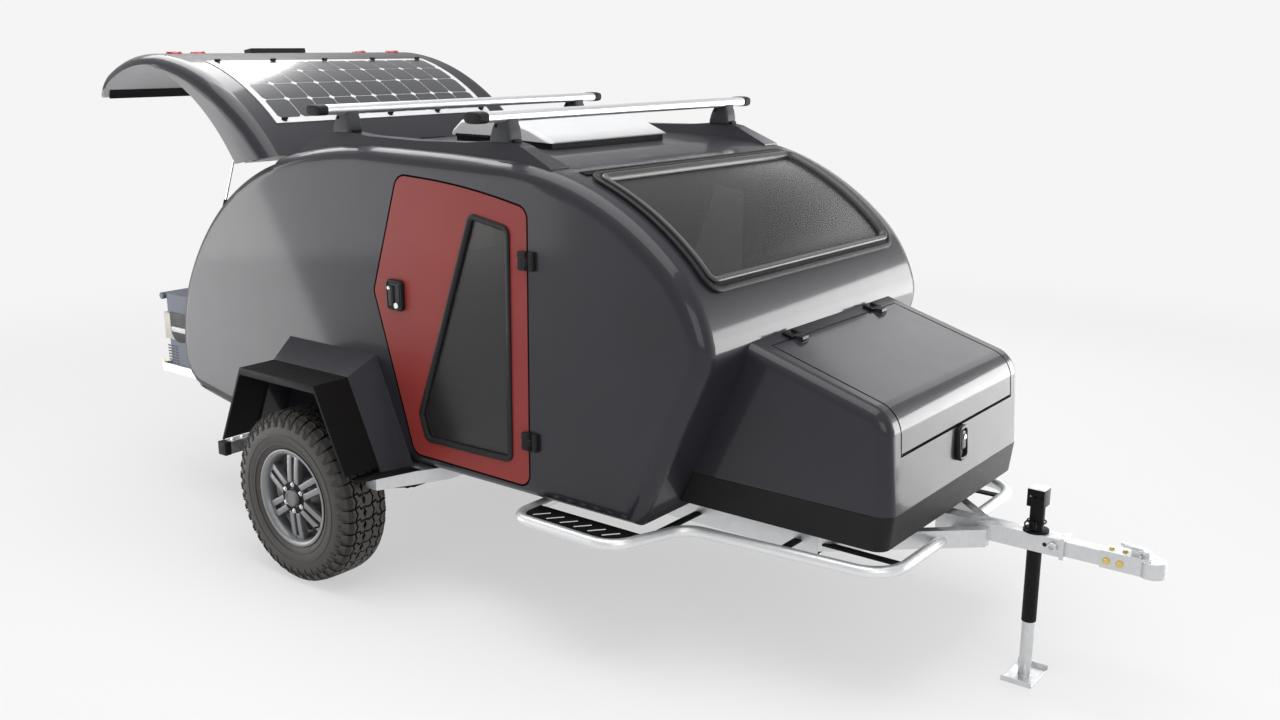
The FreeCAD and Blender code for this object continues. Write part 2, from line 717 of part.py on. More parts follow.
def build_struts():
    body, eye, along = strut_frame()
    shut = (V(STRUT_EYE_X, -STRUT_Y, STRUT_EYE_Z) - body).Length
    opened_long = (eye - body).Length
    tube_end = STRUT_TUBE_LONG
    tube = Part.makeCylinder(STRUT_TUBE_R, tube_end - 8.0, body + along * 8.0, along)
    heel = rod(body.x, body.y - 7.0, body.z, (0, 1, 0), 12.0, 14.0)
    bore = Part.makeCylinder(STRUT_ROD_R + RUN_GAP, tube_end, body + along * 34.0, along)
    hole = rod(body.x, body.y - 20.0, body.z, (0, 1, 0), 5.0 + RUN_GAP, 40.0)
    tube = join([tube, heel]).cut(bore).cut(hole)
    first = opened_long - shut + 40.0
    ring = rod(eye.x, eye.y - STRUT_RING / 2.0, eye.z, (0, 1, 0), 9.0, STRUT_RING)
    shaft = Part.makeCylinder(STRUT_ROD_R, opened_long - first - 5.0, body + along * first, along)
    piston = join([shaft, ring]).cut(rod(eye.x, eye.y - 20.0, eye.z, (0, 1, 0), 4.0 + RUN_GAP, 40.0))
    for side, name in ((-1, "right"), (1, "left")):
        keep("strut_cylinder_" + name, on_side(tube, side))
        keep("strut_rod_" + name, on_side(piston, side))


def seam_frame():
    """Directions along and out of the outline at the hatch's hinge."""
    out = (V(HINGE_X, 0, HINGE_Z) - V(TAIL_CENTRE[0], 0, TAIL_CENTRE[1])).normalize()
    return V(out.z, 0, -out.x), out


def leaf_plate(y0, y1, start, end):
    """Thin plate on the outline, from the hinge line forwards or backwards."""
    along, out = seam_frame()
    hinge = V(HINGE_X, y0, HINGE_Z)
    a = hinge + along * start
    b = hinge + along * end
    low = out * -3.0
    high = out * 5.0
    face = Part.Face(Part.makePolygon([a + low, b + low, b + high, a + high, a + low]))
    return face.extrude(V(0, y1 - y0, 0))


def build_hatch_hinge():
    """Long hinge across the roof: fixed and moving knuckles in turn on one pin."""
    body = outline_solid(0.0, BODY_HALF, 0.0)
    fixed = []
    moving = []
    knuckle = 2.0 * (SIDE_INNER - 10.0) / 9.0
    bore = rod(HINGE_X, -SIDE_INNER, HINGE_Z, (0, 1, 0), HINGE_PIN_R + RUN_GAP, 2.0 * SIDE_INNER)
    for i in range(9):
        y0 = -(SIDE_INNER - 10.0) + knuckle * i
        if i % 2 == 0:
            ring = rod(HINGE_X, y0, HINGE_Z, (0, 1, 0), HINGE_R, knuckle)
            leaf = leaf_plate(y0, y0 + knuckle, 0.0, 45.0).cut(body)
            fixed += [ring, leaf]
        else:
            ring = rod(HINGE_X, y0 + 0.5, HINGE_Z, (0, 1, 0), HINGE_R, knuckle - 1.0)
            leaf = leaf_plate(y0 + 0.5, y0 + knuckle - 0.5, -45.0, 0.0).cut(body)
            moving.append(join([ring, leaf]).cut(bore))
    pin = rod(HINGE_X, -(SIDE_INNER - 10.0), HINGE_Z, (0, 1, 0), HINGE_PIN_R, 2.0 * (SIDE_INNER - 10.0))
    keep("roof_hinge_leaf", join(fixed + [pin]))
    keep("hatch_hinge_leaf", opened(Part.makeCompound(moving)))


# ---------------------------------------------------------------------------
# doors
# ---------------------------------------------------------------------------
def build_doors():
    leaf = rounded_plate(DOOR_CORNERS, -BODY_HALF, -BODY_HALF + SHELL)
    lip = rounded_plate(GLASS_CORNERS, -BODY_HALF - 6.0, -BODY_HALF + SHELL)
    window = rounded_plate(inset(GLASS_CORNERS, 18.0), -BODY_HALF - 20.0, -BODY_HALF + SHELL + 20.0)
    glass = rounded_plate(inset(GLASS_CORNERS, 18.0), -BODY_HALF + 6.0, -BODY_HALF + 6.0 + GLASS_THICK)
    leaf = join([leaf, lip]).cut(window)
    latch = block(370.0, 412.0, -BODY_HALF - 14.0, -BODY_HALF, 1165.0, 1285.0)
    leaf = join([leaf, latch])
    fixed = []
    for z in DOOR_HINGE_Z:
        y = -BODY_HALF - 12.0
        knuckle = rod(DOOR_HINGE_X, y, z - 32.0, (0, 0, 1), DOOR_HINGE_R, 20.0)
        upper = rod(DOOR_HINGE_X, y, z + 12.0, (0, 0, 1), DOOR_HINGE_R, 20.0)
        pin = rod(DOOR_HINGE_X, y, z - 32.0, (0, 0, 1), DOOR_PIN_R, 64.0)
        leafs = [block(DOOR_HINGE_X, DOOR_HINGE_X + 34.0, -BODY_HALF - 8.0, -BODY_HALF, z - 32.0,
                       z - 12.0),
                 block(DOOR_HINGE_X, DOOR_HINGE_X + 34.0, -BODY_HALF - 8.0, -BODY_HALF, z + 12.0,
                       z + 32.0)]
        fixed.append(join([knuckle, upper, pin] + leafs))
        sleeve = rod(DOOR_HINGE_X, y, z - 11.0, (0, 0, 1), DOOR_HINGE_R, 22.0)
        arm = block(DOOR_HINGE_X - 50.0, DOOR_HINGE_X, -BODY_HALF - 16.0, -BODY_HALF - 3.0, z - 11.0,
                    z + 11.0)
        pad = block(DOOR_HINGE_X - 50.0, DOOR_HINGE_X - 16.0, -BODY_HALF - 4.0, -BODY_HALF, z - 11.0,
                    z + 11.0)
        bore = rod(DOOR_HINGE_X, y, z - 40.0, (0, 0, 1), DOOR_PIN_R + RUN_GAP, 80.0)
        leaf = join([leaf, join([sleeve, arm, pad]).cut(bore)])
    hinges = Part.makeCompound(fixed + [mirror(f) for f in fixed])
    keep("door_hinge_leaves", hinges)
    for side, name in ((-1, "right"), (1, "left")):
        keep("door_" + name, on_side(leaf, side))
        keep("door_glass_" + name, on_side(glass, side))


# ---------------------------------------------------------------------------
# nose locker with its lid and skirt
# ---------------------------------------------------------------------------
def nose_slope_x(z):
    """Forward face of the body's lower nose at a height z."""
    arcs, foot, kink = outline_points(0.0)
    last = arcs[-1][0][-1]
    share = (z - BODY_BOTTOM) / (last[1] - BODY_BOTTOM)
    return foot[0] + share * (last[0] - foot[0])


def locker_profile(step):
    """Side view of the locker moved inwards by step: x, z, corner radius."""
    slope = (LOCKER_FRONT_TOP[1] - LOCKER_REAR_TOP[1]) / (LOCKER_FRONT_TOP[0] - LOCKER_REAR_TOP[0])
    rear_x = 1300.0
    rear_z = LOCKER_REAR_TOP[1] + slope * (rear_x - LOCKER_REAR_TOP[0])
    lean = (LOCKER_FRONT_X - LOCKER_FRONT_TOP[0]) / (LOCKER_FRONT_TOP[1] - SKIRT_TOP_Z)
    foot_z = SKIRT_TOP_Z - 200.0
    corners = [
        (rear_x, rear_z, 0.0),
        (LOCKER_FRONT_TOP[0], LOCKER_FRONT_TOP[1], LOCKER_ROUND),
        (LOCKER_FRONT_X + lean * 200.0, foot_z, 0.0),
        (rear_x, foot_z, 0.0),
    ]
    if step > 0.0:
        moved = inset(corners, step)
        corners = [(c[0], c[1], LOCKER_ROUND - step if i == 1 else 0.0) for i, c in enumerate(moved)]
    return corners


def locker_solid(step):
    half = LOCKER_HALF - step
    solid = rounded_plate(locker_profile(step), -half, half)
    edges = []
    for edge in solid.Edges:
        box = edge.BoundBox
        flat = abs(box.YMin - box.YMax) < 1e-6 and abs(abs(box.YMin) - half) < 1e-6
        lower = box.ZMax < SKIRT_TOP_Z - 100.0
        rear = box.XMax < 1400.0
        if flat and not lower and not rear:
            edges.append(edge)
    solid = solid.makeFillet(LOCKER_EDGE - step, edges)
    return solid.common(block(1200.0, FAR, -FAR, FAR, SKIRT_TOP_Z + step, FAR))


def lid_hinge():
    slope = (LOCKER_FRONT_TOP[1] - LOCKER_REAR_TOP[1]) / (LOCKER_FRONT_TOP[0] - LOCKER_REAR_TOP[0])
    x = LID_REAR_X - 3.0
    return x, LOCKER_REAR_TOP[1] + slope * (x - LOCKER_REAR_TOP[0]) + 6.0


LID_KNUCKLE_R = 6.0
LID_PIN_R = 2.5
LID_HINGE_Y = (-300.0, 300.0)


def build_locker():
    body = outline_solid(0.0, BODY_HALF, 0.0)
    inner = locker_solid(LOCKER_WALL)
    shell = locker_solid(0.0).cut(inner).cut(body)
    lid_zone = block(LID_REAR_X, FAR, -LID_HALF, LID_HALF, LID_FRONT_Z, FAR)
    hole = block(LID_REAR_X - LID_GAP, FAR, -LID_HALF - LID_GAP, LID_HALF + LID_GAP,
                 LID_FRONT_Z - LID_GAP, FAR)
    lid = shell.common(lid_zone)
    tub = shell.cut(hole)
    latch = block(LOCKER_FRONT_X - 14.0, LOCKER_FRONT_X + 12.0, -22.0, 22.0, 765.0, 865.0).cut(inner)
    tub = join([tub, latch])
    hinge_x, hinge_z = lid_hinge()
    fixed = []
    for y in LID_HINGE_Y:
        rings = [rod(hinge_x, y - 40.0, hinge_z, (0, 1, 0), LID_KNUCKLE_R, 19.5),
                 rod(hinge_x, y + 20.5, hinge_z, (0, 1, 0), LID_KNUCKLE_R, 19.5)]
        pin = rod(hinge_x, y - 40.0, hinge_z, (0, 1, 0), LID_PIN_R, 80.0)
        pads = [block(hinge_x - 34.0, hinge_x, y0, y0 + 19.5, hinge_z - 16.0,
                      hinge_z + 4.0) for y0 in (y - 40.0, y + 20.5)]
        fixed.append(join(rings + [pin] + pads).cut(inner))
        ring = rod(hinge_x, y - 20.0, hinge_z, (0, 1, 0), LID_KNUCKLE_R, 40.0)
        arm = block(hinge_x, hinge_x + 40.0, y - 20.0, y + 20.0, hinge_z - 20.0, hinge_z + 3.0)
        bore = rod(hinge_x, y - 50.0, hinge_z, (0, 1, 0), LID_PIN_R + RUN_GAP, 100.0)
        room = block(hinge_x - FAR, hinge_x + 8.0, y - 30.0, y + 30.0, 0.0, hinge_z - LID_KNUCKLE_R)
        lid = join([lid, join([ring, arm]).cut(bore).cut(inner).cut(room)])
    tub = join([tub] + fixed)
    for y in LID_HINGE_Y:
        room = block(hinge_x - 11.0, hinge_x + 60.0, y - 20.4, y + 20.4, hinge_z - 40.0, hinge_z + 20.0)
        keep_pin = rod(hinge_x, y - 40.0, hinge_z, (0, 1, 0), LID_PIN_R, 80.0)
        tub = tub.cut(room.cut(keep_pin))
    keep("locker_tub", tub)
    keep("locker_lid", lid)

    front = LOCKER_FRONT_X
    top_x = nose_slope_x(SKIRT_TOP_Z) - 60.0
    low_x = nose_slope_x(SKIRT_BOTTOM_Z) - 60.0
    outer = side_plate([(front, SKIRT_TOP_Z), (front - SKIRT_TUCK, SKIRT_BOTTOM_Z),
                        (low_x, SKIRT_BOTTOM_Z),
                        (top_x, SKIRT_TOP_Z)], -LOCKER_HALF, LOCKER_HALF)
    edges = [e for e in outer.Edges
             if e.BoundBox.XMin > front - 40.0 and e.BoundBox.ZMax - e.BoundBox.ZMin > 60.0]
    outer = outer.makeFillet(LOCKER_EDGE - 2.0, edges)
    hollow = side_plate([(front - 10.0, SKIRT_TOP_Z - 8.0),
                         (front - SKIRT_TUCK - 10.0, SKIRT_BOTTOM_Z - 5.0),
                         (1000.0, SKIRT_BOTTOM_Z - 5.0), (1000.0, SKIRT_TOP_Z - 8.0)],
                        -LOCKER_HALF + 8.0, LOCKER_HALF - 8.0)
    edges = [e for e in hollow.Edges
             if e.BoundBox.XMin > front - 50.0 and e.BoundBox.ZMax - e.BoundBox.ZMin > 60.0]
    hollow = hollow.makeFillet(LOCKER_EDGE - 10.0, edges)
    keep("locker_skirt", outer.cut(hollow).cut(body))


# ---------------------------------------------------------------------------
# wheels, hubs and suspension
# ---------------------------------------------------------------------------
def revolved(points):
    """Ring about the wheel axis from points of (distance out, radius)."""
    wire = Part.makePolygon([V(0, -a, TYRE_R + r) for a, r in points + [points[0]]])
    return Part.Face(wire).revolve(V(0, 0, TYRE_R), V(0, 1, 0), 360.0)


def build_wheels():
    c = TYRE_Y
    h = TYRE_WIDTH / 2.0
    tread = TYRE_R
    outer = [
        (c - h * 0.76, RIM_SEAT_R + 2.0), (c - h * 0.90, RIM_SEAT_R + 30.0), (c - h, RIM_SEAT_R + 78.0),
        (c - h * 0.97, tread - 40.0), (c - h * 0.86, tread - 9.0), (c - h * 0.60, tread),
        (c + h * 0.60, tread), (c + h * 0.86, tread - 9.0), (c + h * 0.97, tread - 40.0),
        (c + h, RIM_SEAT_R + 78.0), (c + h * 0.90, RIM_SEAT_R + 30.0), (c + h * 0.76, RIM_SEAT_R + 2.0),
        (c + h * 0.64, RIM_SEAT_R + 2.0), (c + h * 0.86, RIM_SEAT_R + 78.0), (c + h * 0.78, tread - 34.0),
        (c - h * 0.78, tread - 34.0), (c - h * 0.86, RIM_SEAT_R + 78.0), (c - h * 0.64, RIM_SEAT_R + 2.0),
    ]
    tyre = revolved(outer)
    lip = RIM_LIP_R
    seat = RIM_SEAT_R
    w = RIM_HALF
    barrel = [
        (c - w, lip), (c - w + 6.0, lip), (c - w + 12.0, seat), (c - 40.0, seat), (c - 28.0, WELL_R),
        (c + 20.0, WELL_R), (c + 40.0, seat), (c + w - 12.0, seat), (c + w - 6.0, lip), (c + w, lip),
        (c + w, seat + 4.0), (c + w - 8.0, seat - 8.0), (c + 36.0, seat - 8.0), (c + 18.0, WELL_R - 8.0),
        (c - 30.0, WELL_R - 8.0), (c - 42.0, seat - 8.0), (c - w + 4.0, seat - 8.0), (c - w, seat),
    ]
    rim = revolved(barrel)
    disc = revolved([(DISC_Y - DISC_THICK, 20.0 + SPINDLE_R + 4.0), (DISC_Y - DISC_THICK, seat - 2.0),
                     (DISC_Y - 4.0, seat - 2.0), (DISC_Y, 72.0), (DISC_Y, 20.0 + SPINDLE_R + 4.0)])
    cuts = []
    for i in range(SPOKE_PAIRS):
        a = 360.0 / SPOKE_PAIRS * i
        slot = block(-SPOKE_SLOT / 2.0, SPOKE_SLOT / 2.0, -DISC_Y - 50.0, -DISC_Y + 100.0,
                     TYRE_R + 84.0, TYRE_R + seat - 16.0)
        slot.rotate(V(0, 0, TYRE_R), V(0, 1, 0), a)
        cuts.append(slot)
        b = a + 180.0 / SPOKE_PAIRS
        inner_half = 16.0
        outer_half = 56.0
        points = [(-inner_half, TYRE_R + 92.0), (inner_half, TYRE_R + 92.0),
                  (outer_half, TYRE_R + seat - 16.0), (-outer_half, TYRE_R + seat - 16.0)]
        gap = side_plate(points, -DISC_Y - 50.0, -DISC_Y + 100.0)
        gap.rotate(V(0, 0, TYRE_R), V(0, 1, 0), b)
        cuts.append(gap)
    wheel = join([rim, minus(disc, cuts)])
    cap = revolved([(DISC_Y - 2.0, 0.0), (DISC_Y - 2.0, HUB_CAP_R + 8.0), (DISC_Y + 8.0, HUB_CAP_R),
                    (DISC_Y + 14.0, 0.0)])
    wheel = join([wheel, cap])
    tyre = tyre.cut(wheel)

    drum_in = DISC_Y - 192.0
    hub = revolved([(drum_in, SPINDLE_R + RUN_GAP), (drum_in, DRUM_R), (drum_in + 72.0, DRUM_R),
                    (drum_in + 78.0, DRUM_R - 12.0), (DISC_Y - DISC_THICK, 80.0),
                    (DISC_Y - DISC_THICK, SPINDLE_R + RUN_GAP)])
    hub = hub.cut(revolved([(drum_in - 1.0, SPINDLE_R + 30.0), (drum_in - 1.0, DRUM_R - 12.0),
                            (drum_in + 66.0, DRUM_R - 12.0), (drum_in + 66.0, SPINDLE_R + 30.0)]))
    for side, name in ((-1, "right"), (1, "left")):
        keep("tyre_" + name, on_side(tyre, side))
        keep("wheel_" + name, on_side(wheel, side))
        keep("hub_" + name, on_side(hub, side))

    spindle = rod(0.0, -ARM_Y, TYRE_R, (0, -1, 0), SPINDLE_R, DISC_Y - 32.0 - ARM_Y)
    backing = rod(0.0, -ARM_Y, TYRE_R, (0, -1, 0), 120.0, 8.0)
    collar = rod(0.0, -ARM_Y - 8.0, TYRE_R, (0, -1, 0), 34.0, 80.0)
    top = ARM_PIVOT_Z + ARM_PIVOT_R
    arm = side_plate([(-50.0, TYRE_R - 40.0), (60.0, TYRE_R - 40.0), (ARM_PIVOT_X + 35.0, top - 52.0),
                      (ARM_PIVOT_X + 35.0, top), (ARM_PIVOT_X - 25.0, top), (40.0, TYRE_R + 50.0),
                      (-50.0, TYRE_R + 50.0)], -ARM_Y, -ARM_Y + 60.0)
    pivot_y = RAIL_Y + RAIL_WIDE / 2.0 + 8.0
    pivot = rod(ARM_PIVOT_X, -pivot_y, ARM_PIVOT_Z, (0, -1, 0), ARM_PIVOT_R, ARM_Y + 15.0 - pivot_y)
    bracing = side_plate([(40.0, TYRE_R - 10.0), (ARM_PIVOT_X, ARM_PIVOT_Z - 16.0),
                          (ARM_PIVOT_X, ARM_PIVOT_Z + 16.0), (40.0, TYRE_R + 22.0)],
                         -ARM_Y + 60.0, -ARM_Y + 200.0)
    arm = join([arm, spindle, backing, collar, pivot, bracing])
    keep("suspension_arms", Part.makeCompound([arm, mirror(arm)]))


# ---------------------------------------------------------------------------
# fenders and their outriggers
# ---------------------------------------------------------------------------
def build_fenders():
    t = FENDER_PLATE
    outer = [
        (FENDER_X - FENDER_FOOT_HALF, FENDER_FOOT_Z), (FENDER_X - FENDER_TOP_HALF, FENDER_TOP_Z),
        (FENDER_X + FENDER_TOP_HALF, FENDER_TOP_Z), (FENDER_X + FENDER_FOOT_HALF, FENDER_FOOT_Z),
    ]
    inner = [
        (FENDER_X - FENDER_FOOT_HALF + t * 1.12, FENDER_FOOT_Z),
        (FENDER_X - FENDER_TOP_HALF + t * 0.64, FENDER_TOP_Z - t),
        (FENDER_X + FENDER_TOP_HALF - t * 0.64, FENDER_TOP_Z - t),
        (FENDER_X + FENDER_FOOT_HALF - t * 1.12, FENDER_FOOT_Z),
    ]
    ring = outer + list(reversed(inner))
    plate = side_plate(ring, -FENDER_OUT_Y, -FENDER_IN_Y)
    keep("fenders", Part.makeCompound([plate, mirror(plate)]))


# ---------------------------------------------------------------------------
# chassis
# ---------------------------------------------------------------------------
def tube_x(x0, x1, y, z_top, wide, deep, wall):
    outer = block(x0, x1, y - wide / 2.0, y + wide / 2.0, z_top - deep, z_top)
    inner = block(x0 - 1.0, x1 + 1.0, y - wide / 2.0 + wall, y + wide / 2.0 - wall, z_top - deep + wall,
                  z_top - wall)
    return outer.cut(inner)


# cross members: x of the middle, how far they reach out to each side
CROSS_MEMBERS = [
    (-1005.0, RAIL_Y - RAIL_WIDE / 2.0),
    (700.0, RAIL_Y - RAIL_WIDE / 2.0),
    (1560.0, RAIL_Y - RAIL_WIDE / 2.0),
]


def build_chassis():
    parts = []
    for y in (-RAIL_Y, RAIL_Y):
        parts.append(tube_x(RAIL_REAR_X, RAIL_FRONT_X, y, RAIL_TOP, RAIL_WIDE, RAIL_DEEP, RAIL_WALL))
    for x, reach in CROSS_MEMBERS:
        parts.append(block(x - 25.0, x + 25.0, -reach, reach, RAIL_TOP - 60.0, RAIL_TOP - 10.0))
    outer_y = RAIL_Y + RAIL_WIDE / 2.0
    for side in (-1, 1):
        x0, x1 = REAR_OUTRIGGER
        reach = FENDER_OUT_Y - 15.0
        points = [(x0, side * outer_y), (x1, side * outer_y), (x1, side * reach), (x0, side * reach)]
        parts.append(plan_plate(points, RAIL_TOP - OUTRIGGER_DEEP, RAIL_TOP))
        reach = FENDER_IN_Y + 50.0
        a, b, c, d = FRONT_OUTRIGGER
        points = [(a, side * outer_y), (d, side * outer_y), (d, side * (reach - 285.0)),
                  (c, side * (reach - 149.0)),
                  (b, side * reach), (a, side * reach)]
        parts.append(plan_plate(points, RAIL_TOP - OUTRIGGER_DEEP, RAIL_TOP))
    for x0, x1 in (REAR_OUTRIGGER, (FRONT_OUTRIGGER[0], FRONT_OUTRIGGER[1])):
        parts.append(block(x0, x1, -RAIL_Y + RAIL_WIDE / 2.0, RAIL_Y - RAIL_WIDE / 2.0,
                           RAIL_TOP - OUTRIGGER_DEEP, RAIL_TOP))
    for side in (-1, 1):
        x = 365.0
        y = side * (RAIL_Y + RAIL_WIDE / 2.0 + 4.0)
        parts.append(block(x - 50.0, x + 50.0, y - 4.0, y + 4.0, RAIL_TOP - RAIL_DEEP - 36.0, RAIL_TOP))
    keep("chassis_frame", join(parts))

    arms = []
    half = TONGUE_TUBE / 2.0
    for side in (-1, 1):
        inner_y = side * (RAIL_Y - RAIL_WIDE / 2.0)
        outer_y = side * (RAIL_Y + RAIL_WIDE / 2.0)
        points = [(RAIL_FRONT_X, inner_y), (RAIL_FRONT_X, outer_y), (TONGUE_X, side * (half + 14.0)),
                  (TONGUE_X, side * half), (TONGUE_X - 40.0, side * half)]
        arms.append(plan_plate(points, RAIL_TOP - 60.0, RAIL_TOP + 6.0))
    tube = tube_x(TONGUE_X - 200.0, TONGUE_END_X, 0.0, TONGUE_TOP, TONGUE_TUBE, TONGUE_TUBE, TONGUE_WALL)
    collar = tube_x(TONGUE_END_X - 14.0, TONGUE_END_X, 0.0, TONGUE_TOP + 6.0, TONGUE_TUBE + 12.0,
                    TONGUE_TUBE + 12.0, 10.9)
    tongue = join(arms + [tube, collar])
    jack_hole = rod(JACK_X, 0.0, 300.0, (0, 0, 1), JACK_TUBE_R, 400.0)
    keep("tongue_frame", tongue.cut(jack_hole))

    inner_half = TONGUE_TUBE / 2.0 - TONGUE_WALL
    mid = TONGUE_TOP - TONGUE_TUBE / 2.0
    inner = block(JACK_X + 45.0, INNER_TUBE_END_X + 60.0, -inner_half, inner_half, mid - inner_half,
                  mid + inner_half)
    inner = inner.cut(block(JACK_X + 44.0, INNER_TUBE_END_X + 61.0, -inner_half + 4.0, inner_half - 4.0,
                            mid - inner_half + 4.0, mid + inner_half - 4.0))
    keep("tongue_extension", inner)

    body = block(INNER_TUBE_END_X - 5.0, COUPLER_NOSE_X - 40.0, -inner_half - 4.0, inner_half + 4.0,
                 mid - inner_half - 4.0, mid + inner_half + 4.0)
    ball_x = COUPLER_NOSE_X - 42.0
    dome = rod(ball_x, 0.0, mid - inner_half - 4.0, (0, 0, 1), 42.0, 2.0 * inner_half + 2.0)
    housing = join([body, dome])
    hollow = join([block(INNER_TUBE_END_X - 6.0, INNER_TUBE_END_X + 60.0, -inner_half, inner_half,
                         mid - inner_half, mid + inner_half),
                   block(INNER_TUBE_END_X + 64.0, ball_x - 36.0, -inner_half + 3.0, inner_half - 3.0,
                         mid - inner_half - 10.0, mid + inner_half - 2.0)])
    socket = Part.makeSphere(BALL_R + 0.4, V(ball_x, 0, mid - 6.0))
    mouth = rod(ball_x, 0.0, mid - inner_half - 20.0, (0, 0, 1), BALL_R + 0.4, inner_half + 14.0)
    housing = minus(housing, [hollow, socket, mouth])
    lever = join([block(INNER_TUBE_END_X + 90.0, ball_x - 10.0, -14.0, 14.0, mid + inner_half + 4.0,
                        mid + inner_half + 24.0),
                  block(INNER_TUBE_END_X + 60.0, ball_x - 30.0, -12.0, 12.0, mid + inner_half + 24.0,
                        mid + inner_half + 32.0)])
    keep("coupler", join([housing, lever]))


def build_jack():
    head_bottom = JACK_HEAD_TOP - 62.0
    tube = rod(JACK_X, 0.0, JACK_TUBE_BOTTOM, (0, 0, 1), JACK_TUBE_R, head_bottom - JACK_TUBE_BOTTOM)
    tube = tube.cut(rod(JACK_X, 0.0, JACK_TUBE_BOTTOM - 1.0, (0, 0, 1), JACK_LEG_R + RUN_GAP,
                        head_bottom - JACK_TUBE_BOTTOM - 30.0))
    flange = rod(JACK_X, 0.0, TONGUE_TOP, (0, 0, 1), 44.0, 8.0)
    flange = flange.cut(rod(JACK_X, 0.0, TONGUE_TOP - 10.0, (0, 0, 1), JACK_LEG_R + RUN_GAP, 60.0))
    head = block(JACK_X - 30.0, JACK_X + 30.0, -30.0, 30.0, head_bottom, JACK_HEAD_TOP)
    head = head.cut(block(JACK_X - 31.0, JACK_X + 24.0, -24.0, 24.0, head_bottom + 6.0,
                          JACK_HEAD_TOP - 6.0))
    keep("jack_mast", join([tube, flange, head]))
    leg = rod(JACK_X, 0.0, 6.0, (0, 0, 1), JACK_LEG_R, head_bottom - 60.0)
    foot = block(JACK_X - JACK_FOOT[0] / 2.0, JACK_X + JACK_FOOT[0] / 2.0, -JACK_FOOT[1] / 2.0,
                 JACK_FOOT[1] / 2.0, 0.0, 6.0)
    keep("jack_leg", join([leg, foot]))


def tube_path(corners, z):
    """Wire of straight runs joined by tangent arcs, at one height."""
    points = [V(c[0], c[1], z) for c in corners]
    edges = []
    last = points[0]
    for i in range(1, len(points) - 1):
        p = points[i]
        a = (points[i - 1] - p).normalize()
        b = (points[i + 1] - p).normalize()
        half = a.getAngle(b) / 2.0
        radius = corners[i][2]
        reach = radius / math.tan(half)
        start = p + a * reach
        end = p + b * reach
        bisector = (a + b).normalize()
        middle = p + bisector * (radius / math.sin(half) - radius)
        edges.append(Part.LineSegment(last, start).toShape())
        edges.append(Part.Arc(start, middle, end).toShape())
        last = end
    edges.append(Part.LineSegment(last, points[-1]).toShape())
    return Part.Wire(edges)


def build_bumper():
    mirrored = [(x, -y, r) for x, y, r in reversed(BAR_CORNERS[:-1])]
    corners = BAR_CORNERS[:-1] + mirrored
    path = tube_path(corners, BAR_Z)
    start = V(corners[0][0], corners[0][1], BAR_Z)
    ring = Part.Wire([Part.makeCircle(BAR_R, start, V(0, -1, 0))])
    tube = path.makePipeShell([ring], True, False)
    tube = tube.cut(PIECES["tongue_frame"])
    keep("bumper_tube", tube)

    plate_z = BAR_Z + 4.0
    steps = []
    for side in (-1, 1):
        plate = plan_plate([(x, side * y) for x, y in STEP_PLATE], plate_z, plate_z + 5.0).cut(tube)
        for i in range(6):
            x = 1165.0 + 66.0 * i
            slot = block(-9.0, 9.0, -34.0, 34.0, plate_z - 5.0, plate_z + 15.0)
            slot.rotate(V(0, 0, 0), V(0, 0, 1), side * STEP_SLANT)
            slot.translate(V(x, side * (STEP_PLATE[0][1] + 62.0), 0))
            plate = plate.cut(slot)
        steps.append(plate)
    keep("step_plates", Part.makeCompound(steps))

    ties = []
    for side in (-1, 1):
        for x, reach in BAR_TIES:
            ties.append(block(x - 15.0, x + 15.0, min(side * (RAIL_Y + RAIL_WIDE / 2.0), side * reach),
                              max(side * (RAIL_Y + RAIL_WIDE / 2.0), side * reach), BAR_Z - 4.0,
                              BAR_Z + 4.0))
        ties.append(block(RAIL_FRONT_X, BAR_CORNERS[-1][0], side * RAIL_Y - 15.0, side * RAIL_Y + 15.0,
                          BAR_Z - 4.0, BAR_Z + 4.0))
    keep("bumper_ties", Part.makeCompound([t.cut(tube).cut(PIECES["tongue_frame"]) for t in ties]))


